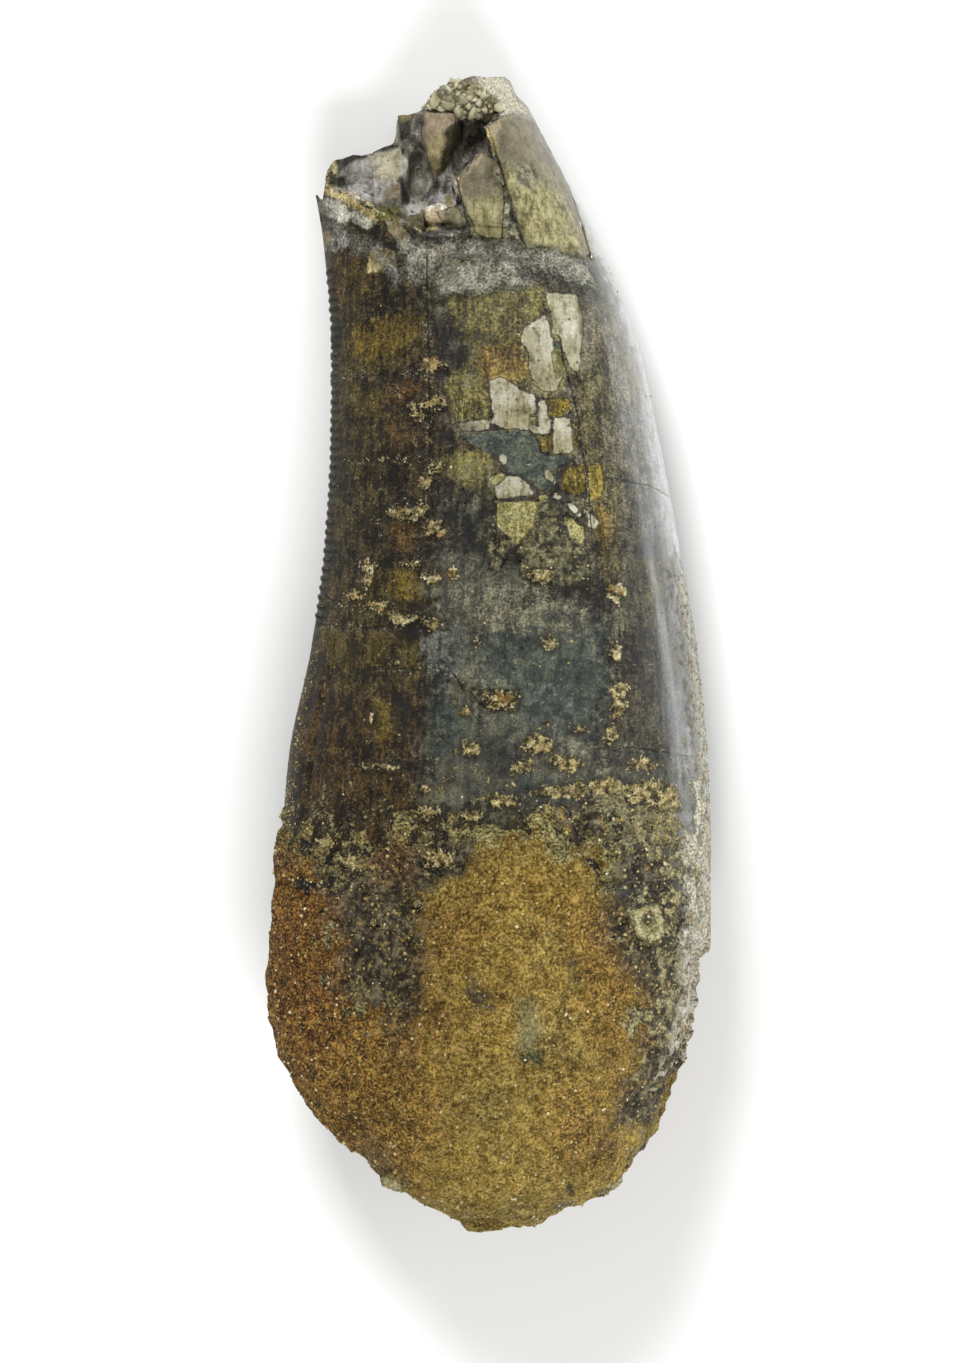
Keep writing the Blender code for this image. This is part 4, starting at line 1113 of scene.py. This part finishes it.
def grain_mesh(name, centres, sizes, tones, seed, spread):
    """Many small irregular grains in one mesh."""
    bm = bmesh.new()
    bmesh.ops.create_icosphere(bm, subdivisions=1, radius=1.0)
    unit = np.array([vert.co for vert in bm.verts])
    sides = np.array([[vert.index for vert in face.verts] for face in bm.faces])
    bm.free()
    random = np.random.default_rng(seed)
    count = len(centres)
    turns = random.normal(size=(count, 3, 3))
    turns, _ = np.linalg.qr(turns)
    turns *= np.sign(np.linalg.det(turns))[:, None, None]
    stretch = random.uniform(0.95 - spread, 0.95 + spread, size=(count, 1, 3))
    shapes = unit[None] * random.uniform(0.82, 1.12, size=(count, len(unit), 1)) * stretch
    shapes = np.einsum("nij,nkj->nki", turns, shapes) * sizes[:, None, None] + centres[:, None]
    vertices = shapes.reshape(-1, 3)
    faces = (sides[None] + (np.arange(count) * len(unit))[:, None, None]).reshape(-1, 3)
    mesh = bpy.data.meshes.new(name)
    mesh.vertices.add(len(vertices))
    mesh.vertices.foreach_set("co", (vertices * MM).ravel())
    mesh.loops.add(faces.size)
    mesh.loops.foreach_set("vertex_index", faces.ravel())
    mesh.polygons.add(len(faces))
    mesh.polygons.foreach_set("loop_start", np.arange(0, faces.size, 3))
    mesh.update()
    mesh.validate()
    grains = new_object(name, mesh)
    keep(grains, "tone", np.repeat(tones, len(unit)))
    return grains


def scatter(obj, count, weight, seed):
    """Random places on a mesh, chosen by area and by a weight at each face."""
    mesh = obj.data
    mesh.calc_loop_triangles()
    triangles = np.empty(len(mesh.loop_triangles) * 3, int)
    mesh.loop_triangles.foreach_get("vertices", triangles)
    triangles = triangles.reshape(-1, 3)
    points = corners(obj)
    a, b, c = (points[triangles[:, k]] for k in range(3))
    areas = np.linalg.norm(np.cross(b - a, c - a), axis=1)
    chances = areas * weight((a + b + c) / 3)
    random = np.random.default_rng(seed)
    chosen = random.choice(len(triangles), size=count, p=chances / chances.sum())
    u, v = random.random((2, count))
    over = u + v > 1
    u[over], v[over] = 1 - u[over], 1 - v[over]
    return a[chosen] + u[:, None] * (b - a)[chosen] + v[:, None] * (c - a)[chosen]


def stands_clear(points):
    """How far each point stands above the tooth's surface, roughly."""
    upper, under = side_heights(points[:, 0], points[:, 1])
    serrated, convex = edges_at(points[:, 1])
    sideways = np.maximum(serrated - points[:, 0], points[:, 0] - convex)
    upright = np.maximum(points[:, 2] - upper, under - points[:, 2])
    return np.maximum(sideways, upright)


def make_grains(crust, tooth, box):
    """Sand grains in the face of the rock, crumbs on the broken tip, and sand on the enamel's patches."""
    made = []

    def add(name, obj, weight, seed, spread=0.3):
        count, smallest, largest = GRAINS[name]
        centres = scatter(obj, count, weight, seed)
        random = np.random.default_rng(seed + 1)
        sizes = smallest + (largest - smallest) * random.random(count) ** 3
        reach = sizes[:, None] * (1.15 * (0.95 + spread))
        centres = np.clip(centres, box[0] + reach, box[1] - reach)
        made.append(grain_mesh(name, centres, sizes, random.random(count), seed + 2, spread))

    def on_rock(middles):
        return (stands_clear(middles) > -0.04) + HARDLY_EVER

    def on_enamel(middles):
        drawn = drawn_places(middles, both_sides(middles)[2])
        spots = 1.2 * ease_in(sand_spots(drawn) / 0.35 + 0.4)
        beds = 0.6 * ease_in(inside_any(drawn, ENAMEL_PAINTS[-1].outlines) / 0.3 + 0.5)
        strewn = 0.10 * ease_in((-6 - middles[:, 1]) / 9) + 0.012
        serrated, convex = edges_at(middles[:, 1])
        rim = ease_in((1.0 - middles[:, 0] + serrated) / 0.5) * ease_in((1.0 - middles[:, 1]) / 3)
        far_rim = 0.5 * ease_in((1.2 - convex + middles[:, 0]) / 0.6) * ease_in((7.5 - middles[:, 1]) / 4)
        return (spots + beds + strewn + 0.9 * rim + far_rim) * (middles[:, 1] > -29) + HARDLY_EVER

    def on_broken_tip(middles):
        drawn = drawn_places(middles, middles[:, 2] > 4)
        return ease_in(inside_any(drawn, CRUMB_HEAP) / 0.4 + 0.6) + HARDLY_EVER

    add("sand_grains", crust, on_rock, 400)
    add("tip_crumbs", tooth, on_broken_tip, 440, 0.6)
    add("sand_specks", tooth, on_enamel, 420)
    return made


# Materials

class Value:
    """A value in a material. Sums and products of these add the Math nodes that work them out."""

    def __init__(self, recipe, socket):
        self.recipe = recipe
        self.socket = socket

    def maths(self, operation, *values):
        return self.recipe.node("ShaderNodeMath", {"operation": operation}, *values)

    def __add__(self, other):
        return self.maths("ADD", self, other)

    def __radd__(self, other):
        return self.maths("ADD", other, self)

    def __sub__(self, other):
        return self.maths("SUBTRACT", self, other)

    def __rsub__(self, other):
        return self.maths("SUBTRACT", other, self)

    def __mul__(self, other):
        return self.maths("MULTIPLY", self, other)

    def __rmul__(self, other):
        return self.maths("MULTIPLY", other, self)

    def __truediv__(self, other):
        return self.maths("DIVIDE", self, other)

    def __rtruediv__(self, other):
        return self.maths("DIVIDE", other, self)

    def __abs__(self):
        return self.maths("ABSOLUTE", self)

    def larger(self, other):
        return self.maths("MAXIMUM", self, other)

    def smaller(self, other):
        return self.maths("MINIMUM", self, other)

    def between(self, low, high):
        """0 below low, 1 above high, and smooth between."""
        settings = {"interpolation_type": "SMOOTHSTEP"}
        return self.recipe.node("ShaderNodeMapRange", settings, self, low, high, 0.0, 1.0)


class Recipe:
    """A material's nodes."""

    def __init__(self, name):
        self.material = bpy.data.materials.new(name)
        self.material.use_nodes = True
        self.tree = self.material.node_tree
        self.shader = self.tree.nodes["Principled BSDF"]
        self.place = self.node("ShaderNodeTexCoord", {}, output="Object")

    def node(self, kind, settings, *values, output=0, **named):
        """Adds a node with its settings, then fills its sockets in order and by name."""
        made = self.tree.nodes.new(kind)
        for key, setting in settings.items():
            if key == "stops":
                self.colour_stops(made, setting)
            else:
                setattr(made, key, setting)
        sockets = [socket for socket in made.inputs if socket.enabled]
        for socket, value in zip(sockets, values):
            self.fill(socket, value)
        for key, value in named.items():
            self.fill(next(s for s in sockets if s.name == key), value)
        if isinstance(output, str):
            return Value(self, made.outputs[output])
        return Value(self, [socket for socket in made.outputs if socket.enabled][output])

    def fill(self, socket, value):
        if isinstance(value, Value):
            self.tree.links.new(value.socket, socket)
        elif value is not None:
            socket.default_value = value

    @staticmethod
    def colour_stops(made, stops):
        ramp = made.color_ramp
        while len(ramp.elements) < len(stops):
            ramp.elements.new(0.5)
        for element, (place, colour) in zip(ramp.elements, stops):
            element.position = place
            element.color = (*colour, 1.0)

    def across(self):
        """The object coordinate along X, in millimetres."""
        return self.node("ShaderNodeSeparateXYZ", {}, self.place, output="X") * 1000.0

    def along(self):
        """The object coordinate along Y, in millimetres."""
        return self.node("ShaderNodeSeparateXYZ", {}, self.place, output="Y") * 1000.0

    def attribute(self, name):
        return self.node("ShaderNodeAttribute", {"attribute_name": name}, output="Fac")

    def stretched(self, x, y, z):
        return self.node("ShaderNodeMapping", {}, self.place, Scale=(x, y, z))

    def noise(self, size, detail, roughness, place=None):
        """Random values round 0.5 that change over a size in millimetres."""
        return self.node(
            "ShaderNodeTexNoise", {}, Vector=place or self.place, Scale=1 / (size * MM), Detail=detail,
            Roughness=roughness,
        )

    def cells(self, size, output="Distance"):
        """How far each place is from the middle of its cell, or a random colour for each cell."""
        return self.node("ShaderNodeTexVoronoi", {}, Vector=self.place, Scale=1 / (size * MM), output=output)

    def ramp(self, value, stops):
        return self.node("ShaderNodeValToRGB", {"stops": stops}, value)

    def mix(self, share, first, second, blend="MIX"):
        first, second = (c if isinstance(c, Value) else (*c, 1.0) for c in (first, second))
        return self.node("ShaderNodeMix", {"data_type": "RGBA", "blend_type": blend}, share, first, second)

    def bump(self, height):
        """Relief for a height in millimetres."""
        return self.node("ShaderNodeBump", {}, Strength=1.0, Distance=MM, Height=height)

    def finish(self, **sockets):
        for name, value in sockets.items():
            self.fill(self.shader.inputs[name.replace("_", " ")], value)
        return self.material


def textures(r):
    """The random patterns that patches take their shades from."""
    fine = r.noise(0.20, 8.0, 0.68)
    streaks = r.noise(0.36, 8.0, 0.68, r.stretched(1.0, 0.13, 1.0))
    mottled = r.noise(1.0, 10.0, 0.70)
    clumps = r.noise(0.50, 6.0, 0.60)
    specks = r.noise(0.13, 4.0, 0.6)
    broad = r.noise(3.0, 5.0, 0.6)
    return {
        "fine": fine,
        "clumps": clumps,
        "streaks": streaks * 0.5 + mottled * 0.3 + fine * 0.2,
        "enamel": streaks * 0.3 + mottled * 0.25 + fine * 0.25 + broad * 0.2,
        "smooth": streaks * 0.35 + mottled * 0.45 + fine * 0.2,
        "worn": streaks * 0.25 + mottled * 0.35 + broad * 0.3 + fine * 0.1,
        "mottled": mottled * 0.55 + clumps * 0.3 + fine * 0.15,
        "stone": clumps * 0.12 + mottled * 0.20 + fine * 0.50 + specks * 0.18,
        "frosted": specks * 0.15 + mottled * 0.45 + fine * 0.4,
        "lumps": 0.74 - r.cells(0.75) * 0.45 + (fine - 0.5) * 0.6,
        "specks": specks,
        "broad": broad,
        "raw": mottled,
    }


# How far each pattern strays from its middle value.
SPREADS = {
    "fine": 0.085, "streaks": 0.055, "enamel": 0.045, "smooth": 0.075, "worn": 0.085, "mottled": 0.085,
    "stone": 0.065, "clumps": 0.09, "frosted": 0.065, "lumps": 0.12,
}


def shades(r, patterns, grain, colours):
    """Colours from dark to light, over a pattern."""
    spread = SPREADS[grain]
    return r.ramp(patterns[grain], tuple(zip((0.5 - spread, 0.5, 0.5 + spread * 1.2), colours)))


def paint_over(r, colour, paints, patterns):
    """Lays patches over a colour, one after another, with a painted shadow line along the edge of each sunk
    one. Also gives where each one lies.
    """
    masks = {}
    steps = 0.0
    edge = patterns["fine"] * 0.45 + patterns["raw"] * 0.55 - 0.5
    for paint in paints:
        spread = r.attribute(paint.name) + edge * (paint.ragged * 3.0)
        if paint.ragged > 1:
            bays = patterns["broad"] * 0.6 + patterns["clumps"] * 0.4 - 0.5
            spread = spread + bays * (paint.ragged * 5.0)
        masks[paint.name] = spread.between(-paint.soft, paint.soft)
        share = masks[paint.name] * paint.strength
        colour = r.mix(share, colour, shades(r, patterns, paint.grain, paint.colours))
        if paint.sink:
            steps = steps - masks[paint.name] * paint.sink
            # Painted shadow: a dark line along the edge of a sunk patch, where its step would throw shade.
            line = abs(spread).between(0.07, 0.0) * patterns["raw"].between(0.42, 0.5)
            colour = r.mix(line * 0.8, colour, (0.022, 0.018, 0.010))
    return colour, masks, steps


def enamel_material():
    """Dark glossy enamel with stains, flaked windows, a broken pale tip, cracks and stuck sand, with painted
    sheen and highlight along the convex edge and painted shade and highlights in the broken tip.
    """
    r = Recipe("fossil_enamel")
    patterns = textures(r)
    fine, streaks, mottled, broad = (patterns[name] for name in ("fine", "streaks", "raw", "broad"))
    specks, clumps = patterns["specks"], patterns["clumps"]
    cross = r.noise(0.5, 4.0, 0.65, r.stretched(0.08, 1.0, 1.0))

    # The body colour, with painted sheen and painted highlight towards the convex edge, and the stains on it
    base = shades(r, patterns, "enamel", (
        (0.002, 0.001, 0.000), (0.012, 0.008, 0.002), (0.052, 0.038, 0.012),
    ))
    # Greyer towards the convex edge: partly its own tone, partly painted sheen.
    grey = (r.attribute("far_edge") + (broad - 0.5) * 5.0).between(11.0, 5.0)
    base = r.mix(grey * 0.8, base, shades(r, patterns, "enamel", (
        (0.008, 0.006, 0.003), (0.036, 0.031, 0.017), (0.110, 0.098, 0.062),
    )))
    # Painted highlight: paler and greyer within about 3 mm of the convex edge.
    side = (r.attribute("far_edge") + (broad - 0.5) * 2.0).between(3.2, 0.8)
    base = r.mix(side * 0.5, base, shades(r, patterns, "smooth", (
        (0.050, 0.048, 0.036), (0.130, 0.127, 0.104), (0.250, 0.246, 0.212),
    )))
    # Painted highlight: a pale blue-grey band right along the convex edge.
    ridge = (r.attribute("far_edge") + (broad - 0.5) * 0.8).between(1.6, 0.3)
    base = r.mix(ridge * 0.6, base, shades(r, patterns, "smooth", (
        (0.190, 0.200, 0.195), (0.340, 0.360, 0.355), (0.500, 0.525, 0.525),
    )))
    colour, masks, steps = paint_over(r, base, ENAMEL_PAINTS, patterns)

    # Small marks, among them pale flecks that are partly painted glints
    pin_holes = r.cells(0.9).between(0.16, 0.08) * (masks["pale"] + masks["gold"] + masks["olive"] * 0.5)
    colour = r.mix(pin_holes * 0.75, colour, (0.030, 0.025, 0.012))
    # Pale flecks, partly painted glints on tiny facets.
    flecks_and_glints = specks.between(0.60, 0.68) * mottled.between(0.47, 0.55)
    colour = r.mix(flecks_and_glints * (1.0 - side * 0.8) * 0.35, colour, (0.330, 0.300, 0.200))
    pocks = r.cells(1.5).between(0.10, 0.06) * mottled.between(0.47, 0.52)
    colour = r.mix(pocks * 0.7, colour, (0.008, 0.006, 0.003))
    knobs = r.cells(2.6).between(0.15, 0.06) * clumps.between(0.48, 0.54)
    colour = r.mix(knobs * 0.45, colour, (0.200, 0.150, 0.050))
    scratches = cross.between(0.58, 0.68) * mottled.between(0.46, 0.56)
    colour = r.mix(scratches * 0.22, colour, (0.200, 0.180, 0.115))

    # The broken tip, with painted shade in its hollows and painted highlights on its rims
    broken = r.attribute("broken")
    inner = shades(r, patterns, "worn", ((0.060, 0.056, 0.042), (0.220, 0.205, 0.160), (0.520, 0.500, 0.410)))
    colour = r.mix(broken, colour, inner)
    colour, tip_masks, _ = paint_over(r, colour, TIP_PAINTS, patterns)
    # A pale ochre lip along the broken edges: partly its own colour, partly painted highlight on the lit rim.
    lip_and_highlight = r.attribute("cut") + (fine - 0.5) * 0.4
    lip_and_highlight = lip_and_highlight.between(0.04, 0.14) * lip_and_highlight.between(0.80, 0.50) * mottled.between(0.43, 0.48)
    lip_and_highlight = lip_and_highlight * r.along().between(28.0, 29.0)
    colour = r.mix(lip_and_highlight * 0.75, colour, shades(r, patterns, "fine", (
        (0.260, 0.170, 0.040), (0.560, 0.460, 0.210), (0.760, 0.690, 0.460),
    )))

    # Cracks, with crumbs beside them
    crack = abs(r.attribute("crack") + (fine - 0.5) * 0.16).between(0.075, 0.025)
    crack = crack * r.attribute("crack_near").between(0.45, 0.6)
    colour = r.mix(crack * 0.85, colour, (0.010, 0.008, 0.005))
    crumbs = r.attribute("crack_near").between(0.50, 0.75) * specks.between(0.57, 0.63)
    crumbs = crumbs * mottled.between(0.47, 0.54)
    colour = r.mix(crumbs * 0.7, colour, (0.360, 0.320, 0.210))

    # Stuck sand with a painted shadow round each lump, and the thin rim of pale rock at the convex edge
    lumps = r.attribute("sand") + (fine - 0.5) * 1.9 + (mottled - 0.5) * 1.3 - 0.03
    sand = lumps.between(-0.05, 0.06)
    sand_colour = shades(r, patterns, "clumps", (
        (0.026, 0.021, 0.008), (0.250, 0.204, 0.080), (0.600, 0.535, 0.320),
    ))
    orange = r.cells(0.5, output="Color").between(0.70, 0.78)
    sand_colour = r.mix(orange * 0.5, sand_colour, (0.300, 0.150, 0.030))
    ochre = ((mottled - 0.5) * 30.0 - r.along()).between(-2.0, 8.0)
    sand_colour = r.mix(ochre * 0.65, sand_colour, shades(r, patterns, "clumps", (
        (0.030, 0.021, 0.005), (0.215, 0.166, 0.052), (0.540, 0.450, 0.215),
    )))
    depth = (mottled - 0.5) * 3.0 - (r.along() + 8.0) / 20.0 + (fine - 0.5) * 1.4
    low_sand = depth.between(0.30, 0.50)
    low_colour = shades(r, patterns, "stone", (
        (0.027, 0.023, 0.010), (0.118, 0.096, 0.036), (0.340, 0.290, 0.130),
    ))
    rim = (r.attribute("far_edge") + (mottled - 0.5) * 4.0).between(1.3, 0.6)
    rim = rim * (r.along() + (mottled - 0.5) * 8.0).between(8.0, 4.0)
    colour = r.mix(low_sand * 0.8, colour, low_colour)
    crusty = low_sand * (r.across() + (broad - 0.5) * 14.0).between(6.0, 11.0)
    colour = r.mix(crusty * clumps.between(0.47, 0.56) * 0.65, colour, (0.400, 0.355, 0.180))
    colour = r.mix(rim * 0.8, colour, shades(r, patterns, "mottled", (
        (0.185, 0.165, 0.108), (0.510, 0.490, 0.405), (0.780, 0.765, 0.690),
    )))
    # Painted shadow: a dark ring round each lump of stuck sand, where it meets the enamel.
    colour = r.mix(lumps.between(-0.36, -0.10) * 0.75, colour, (0.012, 0.009, 0.003))
    colour = r.mix(sand, colour, sand_colour)

    # Speckle over everything but the bare parts and the polished convex edge with its painted highlight
    bare = masks["pale"] + broken + tip_masks["dentine"] + tip_masks["summit"] + tip_masks["frost"] * 0.6
    plain = (1.0 - bare.smaller(1.0) * 0.80) * (1.0 - side * 0.6)
    plates = tip_masks["dentine"] * (1.0 - tip_masks["summit"])
    colour = r.mix(plates * streaks.between(0.47, 0.41) * 0.38, colour, (0.075, 0.062, 0.028))
    dark_crumbs = tip_masks["crumbs"] * r.cells(0.75, output="Color").between(0.45, 0.70)
    colour = r.mix(dark_crumbs * 0.45, colour, (0.170, 0.142, 0.056))
    colour = r.mix(plain, colour, r.ramp(specks * 0.5 + fine * 0.5, (
        (0.42, (0.52, 0.51, 0.48)), (0.5, (0.95, 0.95, 0.94)), (0.59, (1.60, 1.58, 1.50)),
    )), "MULTIPLY")
    serrated = r.attribute("edge").between(0.9, 0.3) * r.along().between(1.5, 3.0)
    colour = r.mix(serrated * 0.7, colour, (0.022, 0.020, 0.014))

    # Gloss and relief
    rough_parts = masks["pale"] * 0.6 + masks["granular"] + masks["slate"] * 0.12 + broken * 0.7 + sand
    rough_parts = rough_parts + low_sand + rim + tip_masks["frost"] + tip_masks["summit"]
    rough_parts = rough_parts + tip_masks["crumbs"] + plates * 0.5
    rough_parts = rough_parts.smaller(1.0)
    worn = (r.attribute("far_edge") + (broad - 0.5) * 1.4).between(4.4, 1.6)
    worn = worn * (r.along().between(-10.0, 8.0) * 0.6 + 0.4)
    polished = (r.attribute("far_edge") + (broad - 0.5) * 0.8).between(2.1, 0.6)
    inner_polish = (r.attribute("far_edge") + (broad - 0.5) * 1.2).between(3.4, 2.0)
    polished = (polished + inner_polish * r.along().between(10.0, 4.0) * 0.13).smaller(1.0)
    polished = polished * r.along().between(-18.0, -6.0)
    coat = (1.0 - rough_parts) * (polished * 0.92 + worn * 0.06 + 0.02)
    roughness = 0.20 + mottled.between(0.42, 0.58) * 0.10 + rough_parts * 0.40
    roughness = roughness + (1.0 - rough_parts) * worn * 0.15
    relief = streaks * 0.08 + cross * 0.03 + fine * 0.035 + mottled * 0.07 - crack * 0.10 + steps
    relief = relief + knobs * 0.12 + rough_parts * (fine * 0.34 + clumps * 0.34 + mottled * 0.24)
    relief = relief + plates * (streaks * 0.30 + mottled * 0.15)
    relief = relief + broken * (r.cells(1.1) * 0.30 + broad * 0.8)
    relief = relief + tip_masks["crumbs"] * patterns["lumps"] * 0.9
    return r.finish(
        Base_Color=colour, Roughness=roughness, Specular_IOR_Level=0.26, Normal=r.bump(relief),
        Coat_Weight=coat, Coat_Roughness=0.25, Coat_IOR=2.2,
    )


def sandstone_material():
    """Golden-ochre sandstone of fine grains, reddish at the thin edge, with dark grey windows, painted shade
    in its pits and hollows, painted light on its crests and a whitish painted light on its right side.
    """
    r = Recipe("sandstone")
    patterns = textures(r)
    fine, mottled, specks, clumps = (patterns[name] for name in ("fine", "raw", "specks", "clumps"))
    lift = r.attribute("lift")
    broad = r.noise(5.0, 6.0, 0.65)
    colour = shades(r, patterns, "stone", (
        (0.090, 0.048, 0.005), (0.225, 0.148, 0.026), (0.450, 0.335, 0.098),
    ))
    low = ((broad - 0.5) * 12.0 - r.along()).between(28.0, 36.0)
    colour = r.mix(low * 0.7, colour, shades(r, patterns, "stone", (
        (0.125, 0.080, 0.011), (0.275, 0.198, 0.044), (0.470, 0.365, 0.122),
    )))
    left = ((broad - 0.5) * 12.0 - r.across()).between(4.0, 10.5)
    colour = r.mix(left * 0.92, colour, shades(r, patterns, "stone", (
        (0.018, 0.008, 0.001), (0.112, 0.052, 0.009), (0.420, 0.235, 0.055),
    )))
    colour = r.mix(1.0, colour, r.ramp(broad * 0.6 + mottled * 0.4, (
        (0.38, (0.74, 0.78, 0.86)), (0.5, (1.0, 1.0, 1.0)), (0.62, (1.22, 1.16, 1.02)),
    )), "MULTIPLY")
    # Painted shade: dark pits where the bump relief is lowest.
    pit_shade = clumps.between(0.41, 0.34) + fine.between(0.40, 0.34) * 0.5
    colour = r.mix(pit_shade * (left * 0.30 + 0.55), colour, (0.050, 0.028, 0.006))
    colour, masks, steps = paint_over(r, colour, ROCK_PAINTS, patterns)
    grains = r.cells(0.36, output="Color").between(0.80, 0.86) * fine.between(0.46, 0.54)
    colour = r.mix(grains * 0.5, colour, (0.500, 0.330, 0.070))
    # Painted light: the rock's right side is painted whitish, as if lit from the right.
    side = (r.across() + (mottled - 0.5) * 5.0).between(13.6, 15.0)
    colour = r.mix(side * 0.7, colour, shades(r, patterns, "fine", (
        (0.270, 0.238, 0.170), (0.620, 0.580, 0.480), (0.860, 0.840, 0.760),
    )))
    # Painted shade and light: darker where the relief is low and lighter on its crests.
    colour = r.mix(1.0, colour, r.ramp(lift * 1.6 + 0.5 + (fine - 0.5) * 0.8, (
        (0.20, (0.70, 0.66, 0.60)), (0.5, (1.0, 1.0, 1.0)), (0.80, (1.28, 1.26, 1.20)),
    )), "MULTIPLY")
    colour = r.mix(specks.between(0.62, 0.70) * 0.45, colour, (0.560, 0.470, 0.260))
    relief = clumps * 0.30 + fine * 0.42 + mottled * 0.36 + specks * 0.08 + steps * 0.5
    roughness = 0.80 - masks["window"] * 0.30
    return r.finish(Base_Color=colour, Roughness=roughness, Specular_IOR_Level=0.18, Normal=r.bump(relief))


SAND_TONES = (
    (0.00, (0.050, 0.036, 0.012)), (0.25, (0.130, 0.092, 0.024)), (0.55, (0.270, 0.200, 0.060)),
    (0.80, (0.350, 0.270, 0.095)), (0.95, (0.440, 0.370, 0.190)), (1.00, (0.560, 0.510, 0.370)),
)
CRUMB_TONES = (
    (0.00, (0.060, 0.056, 0.030)), (0.30, (0.170, 0.155, 0.085)), (0.60, (0.300, 0.275, 0.160)),
    (0.92, (0.370, 0.340, 0.215)), (1.00, (0.480, 0.455, 0.340)),
)


def grain_material(name, tones):
    """Single grains, each with its own tone."""
    r = Recipe(name)
    tone = r.attribute("tone")
    colour = r.ramp(tone, tones)
    return r.finish(Base_Color=colour, Roughness=0.4 + tone * 0.2, Specular_IOR_Level=0.5)


# The camera, floor and lights

CAMERA_DISTANCE = 450.0
MIDDLE_HEIGHT = 7.5
PHOTO_WIDTH, PHOTO_HEIGHT = 980, 1363
FLOOR_WIDTH_M = 3.0
SKY_BRIGHTNESS = 0.32


def make_camera():
    """Straight above the tooth, as in the photograph, with a long lens."""
    centre = on_tooth([(PHOTO_WIDTH / 2, PHOTO_HEIGHT / 2)])[0]
    camera = bpy.data.cameras.new("camera")
    camera.sensor_width = 36.0
    camera.lens = camera.sensor_width * CAMERA_DISTANCE / (PHOTO_HEIGHT / PIXELS_PER_MM)
    camera.clip_start, camera.clip_end = 0.01, 10.0
    obj = new_object("camera", camera)
    obj.location = Vector((centre[0], centre[1], MIDDLE_HEIGHT + CAMERA_DISTANCE)) * MM
    bpy.context.scene.camera = obj


def make_floor():
    bpy.ops.object.select_all(action="DESELECT")
    bpy.ops.mesh.primitive_plane_add(size=FLOOR_WIDTH_M, location=(0, 0, 0))
    floor = bpy.context.object
    floor.name = "floor"
    r = Recipe("pale_floor")
    floor.data.materials.append(r.finish(Base_Color=(0.72, 0.72, 0.71, 1.0), Roughness=0.7))


def make_light(name, place, width, height, power, colour=(1, 1, 1)):
    """A soft light that faces the tooth. Its place and size are in millimetres."""
    light = bpy.data.lights.new(name, "AREA")
    light.shape = "RECTANGLE"
    light.size, light.size_y = width * MM, height * MM
    light.energy = power
    light.color = colour
    obj = new_object(name, light)
    obj.location = Vector(place) * MM
    obj.rotation_euler = (Vector((0, 0, 8)) * MM - obj.location).to_track_quat("-Z", "Y").to_euler()


def make_lights():
    make_light("soft_top", (-120, 360, 330), 160, 130, 2.6)
    make_light("soft_right", (430, 60, 32), 420, 96, 2.3, (0.92, 0.96, 1.0))
    make_light("soft_front", (60, -320, 330), 240, 180, 1.9)
    world = bpy.data.worlds.new("studio")
    bpy.context.scene.world = world
    world.use_nodes = True
    background = world.node_tree.nodes["Background"]
    background.inputs["Color"].default_value = (1, 1, 1, 1)
    background.inputs["Strength"].default_value = SKY_BRIGHTNESS


# Everything in its order

bpy.context.scene.view_settings.view_transform = "Standard"
make_camera()
make_floor()
make_lights()
box = np.array(cad_box) / MM
tooth = make_tooth()
crust = make_crust(box)
grains = make_grains(crust, tooth, box)
tooth.data.materials.append(enamel_material())
crust.data.materials.append(sandstone_material())
sand, crumb = grain_material("sand_grain", SAND_TONES), grain_material("tooth_crumb", CRUMB_TONES)
for piece in grains:
    piece.data.materials.append(crumb if piece.name == "tip_crumbs" else sand)
for piece in (tooth, crust, *grains):
    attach(piece, "root")
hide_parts("tooth")
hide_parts("sandstone_matrix")
